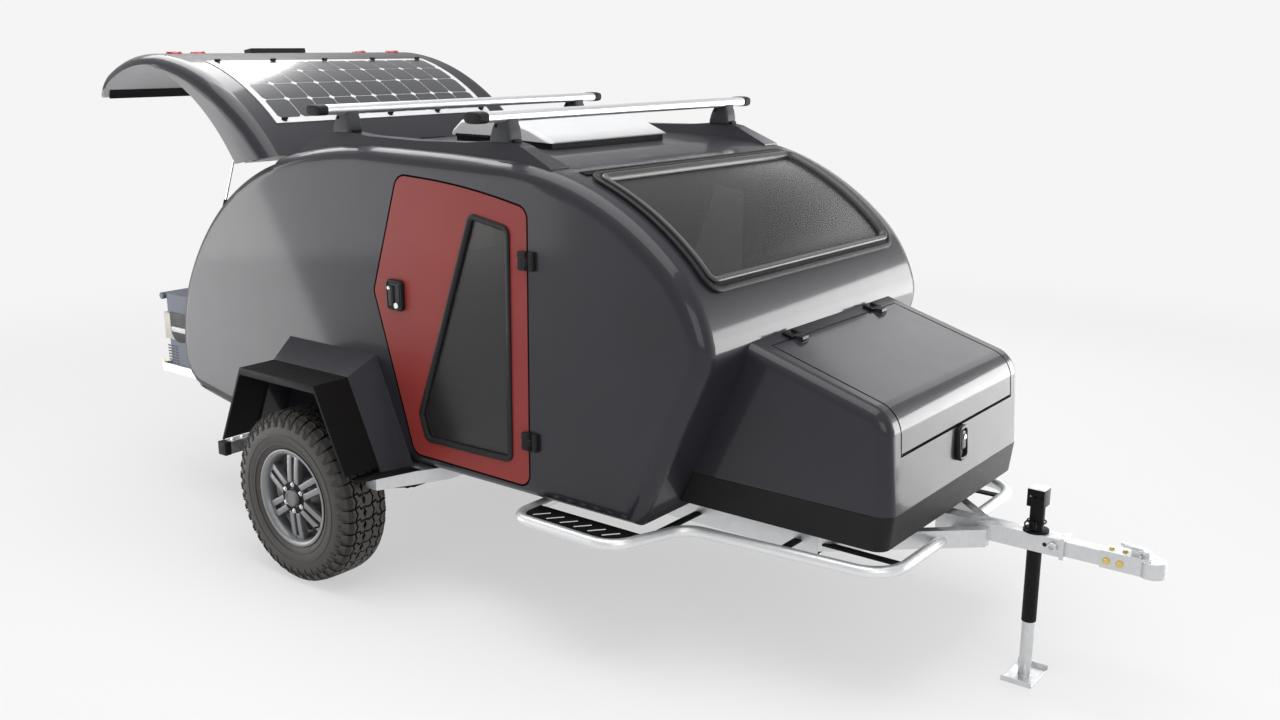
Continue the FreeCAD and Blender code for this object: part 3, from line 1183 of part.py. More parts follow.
# ---------------------------------------------------------------------------
# roof gear
# ---------------------------------------------------------------------------
def build_roof_gear():
    over = outline_solid(0.0, BODY_HALF, SHOULDER)
    low = RAIL_POD[0][1] - 150.0
    outline = [(RAIL_POD[0][0], low)] + RAIL_POD + [(RAIL_POD[-1][0], low)]
    pod = side_plate(outline, -CROSSBAR_FOOT_Y - RAIL_POD_FOOT, -CROSSBAR_FOOT_Y + RAIL_POD_FOOT)
    ends = []
    for x in (RAIL_POD[0][0] - 1.0, RAIL_POD[-1][0] + 1.0):
        foot_z = RAIL_POD[-1][1] - 60.0
        section = [(-RAIL_POD_FOOT, low), (-RAIL_POD_FOOT, foot_z), (-RAIL_POD_TOP, POD_TOP_Z + 1.0),
                   (RAIL_POD_TOP, POD_TOP_Z + 1.0), (RAIL_POD_FOOT, foot_z), (RAIL_POD_FOOT, low)]
        ends.append(Part.makePolygon([V(x, -CROSSBAR_FOOT_Y + y, z) for y, z in section + [section[0]]]))
    pod = pod.common(Part.makeLoft(ends, True, True)).cut(over)
    keep("roof_pods", Part.makeCompound([pod, mirror(pod)]))

    for name, x in (("front", BAR_FRONT_X), ("rear", BAR_REAR_X)):
        half = CROSSBAR_DEEP / 2.0
        wide = CROSSBAR_WIDE / 2.0
        bar = block(x - wide, x + wide, -CROSSBAR_HALF, CROSSBAR_HALF, CROSSBAR_Z - half,
                    CROSSBAR_Z + half)
        edges = [e for e in bar.Edges if abs(e.BoundBox.YMax - e.BoundBox.YMin) > 100.0]
        bar = bar.makeFillet(half * 0.8, edges)
        feet = []
        for side in (-1, 1):
            y = side * CROSSBAR_FOOT_Y
            feet.append(block(x - 30.0, x + 30.0, y - 25.0, y + 25.0, POD_TOP_Z, CROSSBAR_Z - half + 4.0))
        keep("crossbar_" + name, join([bar] + feet))

    lid = side_plate(VENT_LID, -VENT_HALF, VENT_HALF).cut(outline_solid(-VENT_LIFT, BODY_HALF, 0.0))
    edges = []
    for edge in lid.Edges:
        box = edge.BoundBox
        middle = edge.CenterOfMass
        on_end = abs(abs(box.YMin) - VENT_HALF) < 1.0 and box.YMax - box.YMin < 1.0
        high = middle.z > roof_height(middle.x) + 45.0
        if on_end and high:
            edges.append(edge)
    keep("roof_vent_lid", lid.makeChamfer(12.0, edges))
    rear = VENT_LID[0][0] + 14.0
    front = VENT_LID[-1][0] - 14.0
    base = block(rear, front, -VENT_HALF + 14.0, VENT_HALF - 14.0, VENT_LID[0][1], VENT_LID[3][1])
    keep("roof_vent_base", base.common(outline_solid(-VENT_LIFT, BODY_HALF, 0.0)).cut(over))


# ---------------------------------------------------------------------------
# cabin and galley fittings
# ---------------------------------------------------------------------------
FRIDGE_Y0 = -BODY_HALF + 70.0
FRIDGE_Y1 = FRIDGE_Y0 + 400.0
FRIDGE_X0 = -1385.0
FRIDGE_LONG = 680.0
FRIDGE_Z0 = 649.0
FRIDGE_Z1 = 1015.0
TRAY_Z0 = 621.0
TRAY_EDGE = 12.0
FRIDGE_TRAVEL = 380.0
COUNTER_Z = 1030.0
COUNTER_THICK = 25.0
GALLEY_REAR_X = -1010.0
CUPBOARD_DEEP = 250.0
MATTRESS_TOP = 690.0
MATTRESS_HALF = BODY_HALF - 72.0
SHELF_HALF = BODY_HALF - 80.0
CUPBOARD_HALF = BODY_HALF - 110.0
BOARD = 15.0


def build_fittings():
    floor_top = BODY_BOTTOM + SHELL
    mattress = block(BULKHEAD_X + 10.0, 1470.0, -MATTRESS_HALF, MATTRESS_HALF, floor_top, MATTRESS_TOP)
    keep("mattress", mattress)
    shelf = []
    for z0 in (1180.0, 1460.0):
        shelf.append(block(BULKHEAD_X, BULKHEAD_X + 220.0, -SHELF_HALF, SHELF_HALF, z0, z0 + BOARD))
    for y in (-SHELF_HALF, -240.0, 225.0, SHELF_HALF - BOARD):
        shelf.append(block(BULKHEAD_X, BULKHEAD_X + 220.0, y, y + BOARD, 1180.0, 1475.0))
    shelf.append(block(BULKHEAD_X + 205.0, BULKHEAD_X + 220.0, -SHELF_HALF, SHELF_HALF, 1180.0, 1250.0))
    keep("cabin_shelf", join(shelf))

    back = BULKHEAD_X - BULKHEAD
    boards = [block(GALLEY_REAR_X, back, -MATTRESS_HALF + 28.0, MATTRESS_HALF, COUNTER_Z,
                    COUNTER_Z + COUNTER_THICK)]
    boards.append(block(-700.0, back, -MATTRESS_HALF, MATTRESS_HALF, floor_top, floor_top + BOARD))
    for y in (FRIDGE_Y1 + 30.0, 200.0, MATTRESS_HALF - BOARD):
        boards.append(block(-960.0, back, y, y + BOARD, 606.0, COUNTER_Z))
        boards.append(block(-700.0, back, y, y + BOARD, floor_top, 620.0))
    for y in (FRIDGE_Y0 + 10.0, FRIDGE_Y1 - BOARD):
        boards.append(block(-700.0, back, y, y + 30.0, floor_top, TRAY_Z0 - 0.5))
    boards.append(block(-940.0, back, FRIDGE_Y1 + 30.0, MATTRESS_HALF, 640.0, 640.0 + BOARD))
    for z0 in (1200.0, 1425.0):
        boards.append(block(back - CUPBOARD_DEEP, back, -CUPBOARD_HALF, CUPBOARD_HALF, z0, z0 + BOARD))
    for y in (-CUPBOARD_HALF, -230.0, 215.0, CUPBOARD_HALF - BOARD):
        boards.append(block(back - CUPBOARD_DEEP, back, y, y + BOARD, 1200.0, 1440.0))
    keep("galley_unit", join(boards))

    body = block(FRIDGE_X0, FRIDGE_X0 + FRIDGE_LONG, FRIDGE_Y0, FRIDGE_Y1, FRIDGE_Z0, FRIDGE_Z1)
    edges = [e for e in body.Edges if e.BoundBox.ZMax - e.BoundBox.ZMin > 300.0]
    body = body.makeFillet(30.0, edges)
    handle = rod(FRIDGE_X0 - 2.0, FRIDGE_Y0 + 40.0, FRIDGE_Z1 - 25.0, (0, 1, 0), 18.0,
                 FRIDGE_Y1 - FRIDGE_Y0 - 80.0)
    keep("fridge", join([body, handle]))
    x1 = FRIDGE_X0 + FRIDGE_LONG
    tray = block(FRIDGE_X0 - 45.0, x1 + 5.0, FRIDGE_Y0 - TRAY_EDGE, FRIDGE_Y1 + TRAY_EDGE, TRAY_Z0,
                 FRIDGE_Z0 + 12.0)
    tray = tray.cut(block(FRIDGE_X0 - 33.0, x1 + FAR, FRIDGE_Y0 - 0.0, FRIDGE_Y1 + 0.0, FRIDGE_Z0, FAR))
    lever = rod(FRIDGE_X0 - 60.0, FRIDGE_Y0 + 30.0, TRAY_Z0 + 14.0, (1, 0, 0), 6.0, 60.0)
    keep("fridge_tray", join([tray, lever]))


def build_all():
    build_shell()
    build_nose_window()
    build_bulkhead()
    build_hatch()
    build_solar_panel()
    build_lamps()
    build_struts()
    build_hatch_hinge()
    build_doors()
    build_locker()
    build_wheels()
    build_fenders()
    build_chassis()
    build_jack()
    build_bumper()
    build_roof_gear()
    build_fittings()


def main():
    build_all()
    low = min(s.BoundBox.XMin for s in PIECES.values())
    high = max(s.BoundBox.XMax for s in PIECES.values())
    shift = V(-(low + high) / 2.0, 0, 0)
    os.makedirs("parts", exist_ok=True)
    for name, shape in PIECES.items():
        moved = shape.copy()
        moved.translate(shift)
        moved.exportStep("parts/" + name + ".step")
        print(name, "solids", len(shape.Solids), "valid", shape.isValid(), "faces", len(shape.Faces))
    print("shift", shift.x, "reach", low, high)


main()
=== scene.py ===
# %% [markdown]
# # A teardrop trailer, dressed for its portrait
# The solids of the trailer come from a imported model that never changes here.
# This notebook gives every surface its finish, and makes the small parts that
# plain solids leave out: tyre tread, gaskets, bolts, grilles and seams.
# Everything is in metres: +X points to the coupling, +Y to the left, +Z up.

import math

import bmesh
import bpy
from mathutils import Matrix, Vector


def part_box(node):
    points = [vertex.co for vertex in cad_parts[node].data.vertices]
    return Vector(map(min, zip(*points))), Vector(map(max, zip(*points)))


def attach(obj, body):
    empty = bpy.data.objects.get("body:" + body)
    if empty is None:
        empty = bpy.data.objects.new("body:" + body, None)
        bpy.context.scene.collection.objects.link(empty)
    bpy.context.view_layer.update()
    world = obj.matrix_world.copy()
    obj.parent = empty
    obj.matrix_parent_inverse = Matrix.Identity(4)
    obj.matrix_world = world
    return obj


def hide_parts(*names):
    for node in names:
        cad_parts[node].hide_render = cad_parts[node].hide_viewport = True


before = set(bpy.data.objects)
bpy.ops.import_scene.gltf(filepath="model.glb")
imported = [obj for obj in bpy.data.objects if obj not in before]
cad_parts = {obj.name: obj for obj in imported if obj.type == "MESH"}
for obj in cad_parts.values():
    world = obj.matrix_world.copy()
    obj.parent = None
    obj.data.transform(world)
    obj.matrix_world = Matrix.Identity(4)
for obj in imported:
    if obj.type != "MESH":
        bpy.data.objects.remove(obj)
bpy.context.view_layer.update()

# %% [markdown]
# ## Places
# A part is easiest to place from its neighbour's box, because it then stays
# right when the neighbour changes. The wheel's box gives the axle, and the
# body's boxes give the walls.

# %% Named places
TYRE_LOW, TYRE_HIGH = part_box("tyre_right")
AXLE_X = (TYRE_LOW.x + TYRE_HIGH.x) / 2
TYRE_RADIUS = (TYRE_HIGH.z - TYRE_LOW.z) / 2
HATCH_LAP = 0.012            # how far the hatch's sides stand outside the walls
WALL_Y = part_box("hatch_shell")[1].y - HATCH_LAP
SIDES = (("right", -1), ("left", 1))


def from_axle(x, y, z):
    """A point given from the middle of the axle line on the ground."""
    return Vector((AXLE_X + x, y, z))


print("axle at x =", round(AXLE_X, 4), "wall at y =", round(WALL_Y, 4))

# %% [markdown]
# ## Camera
# The camera stands in front of the right-hand corner, a little above the roof
# rails, and looks slightly down. A lens near 35 mm gives the roomy
# perspective of standing a few steps away.

# %% Make the camera
CAMERA_AT = from_axle(4.1302, -4.0602, 2.1864)
CAMERA_YAW = 127.7145        # degrees from +X towards +Y
CAMERA_DOWN = 14.116
CAMERA_LENS = 35.21


def linked(name, data):
    """A new object in the scene."""
    obj = bpy.data.objects.new(name, data)
    bpy.context.scene.collection.objects.link(obj)
    return obj


camera_data = bpy.data.cameras.new("camera")
camera_data.lens = CAMERA_LENS
camera_data.sensor_width = 36.0
camera = linked("camera", camera_data)
camera.location = CAMERA_AT
camera.rotation_euler = (math.radians(90 - CAMERA_DOWN), 0, math.radians(CAMERA_YAW - 90))
bpy.context.scene.camera = camera

# %% [markdown]
# ## Shader maths
# A material here is a sum written in Python. `Value` wraps one socket of a
# shader tree, and its operators add Math nodes, so `0.3 + 0.1 * noise` reads
# as it is meant. `Finish` owns the tree and adds any other node.

# %% A small language for finishes
class Value:
    def __init__(self, finish, socket):
        self.finish = finish
        self.socket = socket

    def maths(self, operation, *terms):
        return self.finish.node("ShaderNodeMath", {"operation": operation}, *terms)

    def __rsub__(self, other):
        return self.maths("SUBTRACT", other, self)

    def __abs__(self):
        return self.maths("ABSOLUTE", self)


def operator(operation):
    return lambda self, other: self.maths(operation, self, other)


OPERATORS = {"add": "ADD", "radd": "ADD", "sub": "SUBTRACT", "mul": "MULTIPLY", "rmul": "MULTIPLY",
             "truediv": "DIVIDE", "gt": "GREATER_THAN", "lt": "LESS_THAN"}
for name, operation in OPERATORS.items():
    setattr(Value, f"__{name}__", operator(operation))


# %% Materials by name
class Finish:
    """One material: a Principled shader whose sockets are filled by name, and the slot it is used for."""

    def __init__(self, name, slot, colour, roughness, **constants):
        self.material = bpy.data.materials.new(name)
        self.slot = slot
        self.material.use_nodes = True
        self.tree = self.material.node_tree
        self.shader = self.tree.nodes["Principled BSDF"]
        self.set("Base Color", colour)
        self.set("Roughness", roughness)
        for key, value in constants.items():
            self.set(key.replace("_", " "), value)
        self.place = self.node("ShaderNodeTexCoord", out="Object")
        self.material.diffuse_color = (*colour[:3], 1)

    def feed(self, socket, value):
        if isinstance(value, Value):
            self.tree.links.new(value.socket, socket)
        elif isinstance(value, (tuple, list)) and len(value) == 3 and socket.type == "RGBA":
            socket.default_value = (*value, 1)
        else:
            socket.default_value = value

    def set(self, name, value):
        self.feed(self.shader.inputs[name], value)

    def node(self, kind, settings=None, *inputs, out=0, **named):
        node = self.tree.nodes.new(kind)
        for key, value in (settings or {}).items():
            if key == "stops":
                stops = node.color_ramp.elements
                while len(stops) < len(value):
                    stops.new(0.5)
                for stop, (at, shade) in zip(stops, value):
                    stop.position = at
                    stop.color = (*shade, 1) if isinstance(shade, tuple) else (shade,) * 3 + (1,)
            else:
                setattr(node, key, value)
        for i, value in enumerate(inputs):
            self.feed(node.inputs[i], value)
        for key, value in named.items():
            self.feed(node.inputs[key.replace("_", " ")], value)
        return Value(self, node.outputs[out])

    def noise(self, scale, detail=2.0, stretch=(1, 1, 1), distortion=0.0):
        return self.node("ShaderNodeTexNoise", None, Vector=self.stretched(stretch), Scale=scale,
                         Detail=detail, Distortion=distortion)

    def stretched(self, stretch):
        if stretch == (1, 1, 1):
            return self.place
        return self.node("ShaderNodeVectorMath", {"operation": "MULTIPLY"}, self.place, stretch)

    def cells(self, scale, out="Distance", feature="F1", stretch=(1, 1, 1)):
        return self.node("ShaderNodeTexVoronoi", {"feature": feature}, out=out,
                         Vector=self.stretched(stretch), Scale=scale)

    def axes(self):
        split = self.node("ShaderNodeSeparateXYZ", None, self.place).socket.node
        return [Value(self, output) for output in split.outputs]

    def ramp(self, value, *stops):
        return self.node("ShaderNodeValToRGB", {"stops": stops}, value)

    def blend(self, amount, one, other):
        mix = self.node("ShaderNodeMix", {"data_type": "RGBA"}).socket.node
        self.feed(mix.inputs[0], amount)
        self.feed(mix.inputs[6], one)
        self.feed(mix.inputs[7], other)
        return Value(self, mix.outputs[2])

    def bump(self, height, depth, strength=1.0):
        relief = self.node("ShaderNodeBump", None, Strength=strength, Distance=depth, Height=height)
        self.set("Normal", relief)
        return self

    def wear(self, colour, lighter, scale=3.0, lo=0.35, hi=0.75):
        """A slow drift of colour over the surface, as any real paint has."""
        drift = self.ramp(self.noise(scale, 4.0), (lo, 0.0), (hi, 1.0))
        self.set("Base Color", self.blend(drift, colour, lighter))
        return self


# %% [markdown]
# ## Finishes
# The shell is a moulded plastic skin with satin paint: its gloss is soft, and
# a fine orange peel breaks up what it mirrors. A tiny noise bump gives the
# peel, and a slow noise keeps the roughness from being the same everywhere.

# %% Satin paint for the shell, the doors and the hatch
def satin(name, slot, colour, lighter, roughness=0.42, coat=0.4):
    paint = Finish(name, slot, colour, roughness, Coat_Roughness=0.10, Specular_IOR_Level=0.18)
    paint.wear(colour, lighter)
    paint.set("Coat Weight", coat)
    paint.set("Roughness", roughness + 0.08 * paint.noise(9.0, 3.0))
    return paint.bump(paint.noise(420.0, 1.0), 0.0006, 0.28)


CHARCOAL = (0.016, 0.016, 0.022)
CHARCOAL_LIGHT = (0.019, 0.019, 0.026)
shell_paint = satin("shell_charcoal", "body_shell", CHARCOAL, CHARCOAL_LIGHT)
door_paint = satin("door_red", "door_paint", (0.235, 0.030, 0.026), (0.255, 0.035, 0.030), 0.42, 0.1)
inner_paint = satin("hatch_inner_grey", "hatch_paint", (0.56, 0.57, 0.59), (0.60, 0.61, 0.63), 0.45, 0.0)

# %% [markdown]
# Trim that takes knocks is moulded with a leather-like grain, and steel that
# takes stones is powder coated. Both are black, but they catch light in
# different ways: the grain is made of small cells, the powder of fine noise.

# %% Black trim, rubber and coated steel
def grained(name, slot, colour, roughness, scale, depth, gloss=0.25):
    trim = Finish(name, slot, colour, roughness, Specular_IOR_Level=gloss)
    trim.set("Base Color", trim.blend(trim.noise(4.0, 3.0), colour, tuple(c * 1.5 for c in colour)))
    trim.set("Roughness", roughness + 0.12 * trim.noise(30.0, 2.0))
    return trim.bump(trim.cells(scale) + 0.5 * trim.noise(scale * 2.0, 2.0), depth, 0.6)


trim_black = grained("trim_grained_black", "black_trim", (0.008, 0.008, 0.009), 0.55, 420.0, 0.0008, 0.2)
rubber_black = grained("seal_rubber", "window_rubber", (0.007, 0.007, 0.008), 0.42, 900.0, 0.0002)
# near black and almost without gloss: painted shade for the gaps round the doors and the locker lid, worn by
# the seals in them
gap_painted_shade = Finish("gap_painted_shade", "window_rubber", (0.0015, 0.0015, 0.0016), 0.9, Specular_IOR_Level=0.05)
steel_black = grained("coated_steel", "black_steel", (0.005, 0.005, 0.0054), 0.46, 1100.0, 0.0003, 0.12)
cast_grey = grained("foot_cover_grey", "cast", (0.030, 0.031, 0.034), 0.42, 500.0, 0.0004)

# %% [markdown]
# Hot-dip zinc freezes into flat crystals, the spangle, each with its own
# brightness. Cells with a random colour give it, in the colour and the gloss.

# %% Zinc, aluminium and other bare metal
def spangled(name, slot, dark, pale, scale=60.0):
    zinc = Finish(name, slot, pale, 0.4, Metallic=0.85)
    tone = zinc.node("ShaderNodeSeparateColor", None, zinc.cells(scale, out="Color"))
    drift = 0.55 * tone + 0.45 * zinc.noise(7.0, 4.0)
    zinc.set("Base Color", zinc.blend(drift, dark, pale))
    zinc.set("Roughness", 0.30 + 0.22 * tone)
    return zinc.bump(zinc.noise(260.0, 2.0), 0.0004, 0.25)


def brushed(name, slot, colour, roughness, along, metallic=1.0):
    metal = Finish(name, slot, colour, roughness, Metallic=metallic)
    lines = metal.noise(160.0, 2.0, stretch=along)
    metal.set("Base Color", metal.blend(lines, tuple(c * 0.9 for c in colour), colour))
    metal.set("Roughness", roughness + 0.12 * lines)
    return metal.bump(lines, 0.0002, 0.2)


zinc_plate = spangled("galvanised", "galvanised", (0.56, 0.57, 0.58), (0.68, 0.69, 0.70))
tube_silver = brushed("tube_silver", "galvanised", (0.80, 0.81, 0.82), 0.34, (0.2, 1, 1), 0.7)
bar_silver = brushed("bar_anodised", "pale_bar", (0.70, 0.71, 0.73), 0.32, (1, 0.02, 1), 0.85)
bright_steel = brushed("bright_steel", "rod_chrome", (0.78, 0.78, 0.79), 0.16, (1, 1, 0.02))
wheel_grey = brushed("wheel_alloy", "alloy", (0.25, 0.252, 0.258), 0.36, (1, 1, 1), 0.75)
dark_metal = brushed("bare_dark_steel", "alloy", (0.20, 0.20, 0.21), 0.42, (1, 1, 1), 0.8)
yellow_zinc = brushed("yellow_zinc", "galvanised", (0.72, 0.55, 0.22), 0.3, (1, 1, 1), 0.9)

# %% [markdown]
# The windows are tinted acrylic: dark, partly see-through and softly glossy.
# For a window that only has to look tinted, an alpha below one is quicker and
# cleaner than true refraction through a thin pane.

# %% Glass, lenses and white sheet
def tinted(name, slot, colour, alpha, roughness=0.22, coat=0.0):
    pane = Finish(name, slot, colour, roughness, IOR=1.5, Coat_Roughness=0.02)
    pane.set("Coat Weight", coat)
    pane.set("Alpha", alpha)
    return pane


window_glass = tinted("window_tint", "window", (0.022, 0.022, 0.022), 0.66)
pane_gloss = tinted("pane_edge_gloss", "window", (0.040, 0.041, 0.042), 1.0, 0.38)
lamp_lens = tinted("lamp_red_lens", "lamp_red", (0.42, 0.012, 0.010), 1.0, 0.12, 0.6)
panel_sheet = Finish("panel_white_sheet", "white_plastic", (0.80, 0.81, 0.82), 0.35)
panel_sheet.wear((0.56, 0.565, 0.57), (0.61, 0.615, 0.62)).bump(panel_sheet.noise(240.0), 0.0003, 0.3)
white_plastic = Finish("vent_white", "white_plastic", (0.80, 0.81, 0.82), 0.38)
white_plastic.wear((0.55, 0.555, 0.56), (0.61, 0.615, 0.62)).bump(white_plastic.noise(700.0), 0.0003, 0.3)

# %% [markdown]
# ## Tyre rubber
# A muddy-terrain tyre is never pure black in daylight: dust gives it a warm
# brown grey. The finish is dustier in the high places of a slow noise, and
# the grooves between the blocks are painted near black as shade.

# %% Tyre rubber
tyre_rubber = Finish("tyre_dusty_rubber", "tyre_rubber", (0.050, 0.045, 0.041), 0.72, Specular_IOR_Level=0.55)
dust = tyre_rubber.noise(26.0, 5.0)
TREAD_DEPTH = 0.0115
GROOVE_TOP = TYRE_RADIUS - 0.0045
GROOVE_REACH = 0.030         # how far in from the tread's top, and how far from its middle, grooves get painted shade
GROOVE_HALF = 0.094
along, across, up = tyre_rubber.axes()
along = along - AXLE_X
up = up - TYRE_RADIUS
from_hub = tyre_rubber.node("ShaderNodeMath", {"operation": "SQRT"}, along * along + up * up)
tread_y = (TYRE_HIGH.y + TYRE_LOW.y) / 2
near_tread = (from_hub > TYRE_RADIUS - GROOVE_REACH) * (from_hub < GROOVE_TOP)
groove_painted_shade = near_tread * (abs(abs(across) - abs(tread_y)) < GROOVE_HALF)
dusty = tyre_rubber.blend(dust, (0.022, 0.019, 0.017), (0.058, 0.050, 0.044))
# the grooves and the blocks' low walls are painted near black: painted shade in the tread
tyre_rubber.set("Base Color", tyre_rubber.blend(groove_painted_shade, dusty, (0.002, 0.002, 0.002)))
tyre_rubber.set("Roughness", 0.46 + 0.25 * dust)
tyre_rubber.bump(tyre_rubber.noise(600.0, 3.0), 0.0006, 0.5)

# %% [markdown]
# ## Inside: birch ply, cloth and the fridge's plastics
# Birch ply has a long, faint grain. Stretching a noise along the board's
# length gives streaks, and a second, finer noise gives the pores.

# %% Inside finishes
ply = Finish("birch_ply", "wood_board", (0.60, 0.44, 0.28), 0.5)
streaks = ply.noise(14.0, 6.0, stretch=(1.0, 0.12, 1.0), distortion=0.6)
grain = ply.ramp(streaks, (0.3, 0.0), (0.7, 1.0))
ply.set("Base Color", ply.blend(grain, (0.50, 0.35, 0.21), (0.66, 0.50, 0.33)))
ply.set("Roughness", 0.42 + 0.2 * ply.noise(120.0, 3.0, stretch=(1.0, 0.1, 1.0)))
ply.bump(streaks, 0.0004, 0.3)

mattress_cloth = Finish("mattress_cloth", "cushion", (0.36, 0.34, 0.31), 0.85, Sheen_Weight=0.3)
threads = [mattress_cloth.node("ShaderNodeTexWave", {"bands_direction": way}, Scale=300.0,
                               Vector=mattress_cloth.place) for way in ("X", "Y")]
mattress_cloth.wear((0.33, 0.315, 0.29), (0.37, 0.355, 0.33), 5.0)
mattress_cloth.bump(threads[0] * threads[1], 0.0003, 0.35)

fridge_blue = grained("fridge_blue_grey", "grey_plastic", (0.085, 0.098, 0.130), 0.45, 700.0, 0.0002)
fridge_pale = grained("fridge_pale_band", "white_plastic", (0.44, 0.42, 0.37), 0.42, 700.0, 0.0002)
handle_black = grained("handle_black", "black_trim", (0.006, 0.006, 0.007), 0.32, 900.0, 0.0001, 0.2)

# %% [markdown]
# ## Dressing the solids
# A solid whose shape is right keeps it and only takes a finish. The table
# says which finish each one wears.

# %% Finishes for the solids that stay
WEARS = {
    shell_paint: ["side_wall_right", "side_wall_left", "roof_panel", "nose_panel", "locker_tub", "locker_lid",
                  "hatch_shell", "roof_pods"],
    door_paint: ["door_right", "door_left"],
    window_glass: ["nose_window_glass", "door_glass_right", "door_glass_left"],
    rubber_black: ["nose_window_frame", "rim_seals", "hatch_foot_seal"],
    trim_black: ["floor_panel", "locker_skirt", "roof_vent_base", "plate_bracket"],
    steel_black: ["fenders", "step_plates", "jack_mast", "strut_cylinder_right", "strut_cylinder_left",
                  "roof_hinge_leaf", "hatch_hinge_leaf", "door_hinge_leaves", "suspension_arms",
                  "bumper_ties"],
    zinc_plate: ["chassis_frame", "tongue_frame", "tongue_extension", "coupler", "jack_leg"],
    bar_silver: ["crossbar_front", "crossbar_rear", "fridge_tray"],
    tube_silver: ["bumper_tube"],
    wheel_grey: ["wheel_right", "wheel_left"],
    dark_metal: ["hub_right", "hub_left"],
    tyre_rubber: ["tyre_right", "tyre_left"],
    panel_sheet: ["solar_panel"],
    lamp_lens: ["marker_lamps"],
    white_plastic: ["roof_vent_lid"],
    fridge_blue: ["fridge"],
    mattress_cloth: ["mattress"],
    ply: ["bulkhead", "cabin_shelf", "galley_unit"],
    bright_steel: ["strut_rod_right", "strut_rod_left"],
}


def wear(finish, obj):
    obj.data.materials.clear()
    obj.data.materials.append(finish.material)


for finish, nodes in WEARS.items():
    for node in nodes:
        wear(finish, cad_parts[node])
bare = set(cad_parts) - {n for nodes in WEARS.values() for n in nodes}
print("solids without a finish:", sorted(bare))

# %% [markdown]
# ## Making meshes
# Nearly every new piece starts as a loft: rings of points with quads between
# them. The other helpers only choose the rings. One turns a profile about an
# axis, one carries it along a path, and one gives a drawn outline a thickness.

# %% Lofts
def as_mesh(points, faces):
    mesh = bpy.data.meshes.new("mesh")
    mesh.from_pydata([tuple(p) for p in points], [], faces)
    mesh.validate()
    return mesh


def loft(rings, around=True, closed=False, caps=False):
    """Quads between rings of equally many points; caps close the two ends."""
    size = len(rings[0])
    points = [p for ring in rings for p in ring]
    faces = []
    for i in range(len(rings) if closed else len(rings) - 1):
        a = i * size
        b = ((i + 1) % len(rings)) * size
        for j in range(size if around else size - 1):
            k = (j + 1) % size
            faces.append((a + j, a + k, b + k, b + j))
    if caps:
        faces += [tuple(reversed(range(size))), tuple(range(len(points) - size, len(points)))]
    return as_mesh(points, faces)


# %% Edges and normals
MERGE = 1e-5                 # points closer than this are one


def reworked(mesh, work=None):
    """Merges doubles, does one more job, and turns all faces outwards."""
    bm = bmesh.new()
    bm.from_mesh(mesh)
    bmesh.ops.remove_doubles(bm, verts=bm.verts, dist=MERGE)
    if work:
        work(bm)
    bmesh.ops.recalc_face_normals(bm, faces=bm.faces)
    bm.to_mesh(mesh)
    bm.free()
    return mesh


def softened(mesh, width, segments=2, sharper=30.0):
    """Rounds the edges that are sharper than an angle."""
    def bevel(bm):
        limit = math.radians(sharper)
        edges = [e for e in bm.edges if len(e.link_faces) == 2 and e.calc_face_angle() > limit]
        bmesh.ops.bevel(bm, geom=edges, offset=width, segments=segments, profile=0.5, affect="EDGES",
                        clamp_overlap=True)
    return reworked(mesh, bevel)


def solid_loft(rings, **ways):
    return reworked(loft(rings, **ways))


# %% Blocks, turned parts and rods
def block(low, high, soft=0.0, segments=2):
    (x0, y0, z0), (x1, y1, z1) = low, high
    ring = [(x0, y0), (x1, y0), (x1, y1), (x0, y1)]
    mesh = solid_loft([[(x, y, z) for x, y in ring] for z in (z0, z1)], caps=True)
    return softened(mesh, soft, segments) if soft else mesh


def turned(profile, centre=(0, 0, 0), axis="Y", steps=96, closed=False):
    """Turns a profile of (along, radius) about an axis through a centre."""
    x, y, z = centre
    place = {"X": lambda t, u, v: (x + t, y + u, z + v), "Y": lambda t, u, v: (x + u, y + t, z + v),
             "Z": lambda t, u, v: (x + u, y + v, z + t)}[axis]
    rings = []
    for i in range(steps):
        a = 2 * math.pi * i / steps
        rings.append([place(t, r * math.cos(a), r * math.sin(a)) for t, r in profile])
    return solid_loft(rings, around=closed, closed=True)


def rod(low, high, radius, centre=(0, 0, 0), axis="Y", steps=24, core=0.0002):
    return turned([(low, core), (low, radius), (high, radius), (high, core)], centre, axis, steps)


# %% Sweeps
def sweep(path, profile, closed=False, up=(0, 0, 1)):
    """Carries a profile of (side, height) along a path of points."""
    path = [Vector(p) for p in path]
    rings = []
    count = len(path)
    for i, p in enumerate(path):
        before = path[i - 1] if (i or closed) else p
        after = path[(i + 1) % count] if (i < count - 1 or closed) else p
        go = (after - before).normalized()
        rise = Vector(up(p) if callable(up) else up)
        side = go.cross(rise).normalized()
        rise = side.cross(go).normalized()
        inside = 0 < i < count - 1 or closed
        stretch = 1.0 / max((p - before).normalized().dot(go), 0.5) if inside else 1.0
        rings.append([p + side * (u * stretch) + rise * v for u, v in profile])
    return solid_loft(rings, closed=closed, caps=not closed)


def disc_profile(radius, steps=12):
    angles = [2 * math.pi * i / steps for i in range(steps)]
    return [(radius * math.cos(a), radius * math.sin(a)) for a in angles]


# %% Outlines and plates
def rounded(corners, radius, steps=6):
    """Points round a polygon's corners; radius is one value, or one for each corner."""
    out = []
    count = len(corners)
    for i in range(count):
        r = radius[i] if isinstance(radius, (list, tuple)) else radius
        p = Vector(corners[i])
        a = (Vector(corners[i - 1]) - p).normalized()
        b = (Vector(corners[(i + 1) % count]) - p).normalized()
        half = a.angle(b) / 2
        middle = p + (a + b).normalized() * (r / math.sin(half))
        start = p + a * (r / math.tan(half)) - middle
        end = p + b * (r / math.tan(half)) - middle
        turn = start.angle(end)
        for k in range(steps + 1):
            t = k / steps
            q = start.lerp(end, t)
            if turn >= 1e-4:
                q = (start * math.sin((1 - t) * turn) + end * math.sin(t * turn)) / math.sin(turn)
            out.append(tuple(middle + q))
    return out


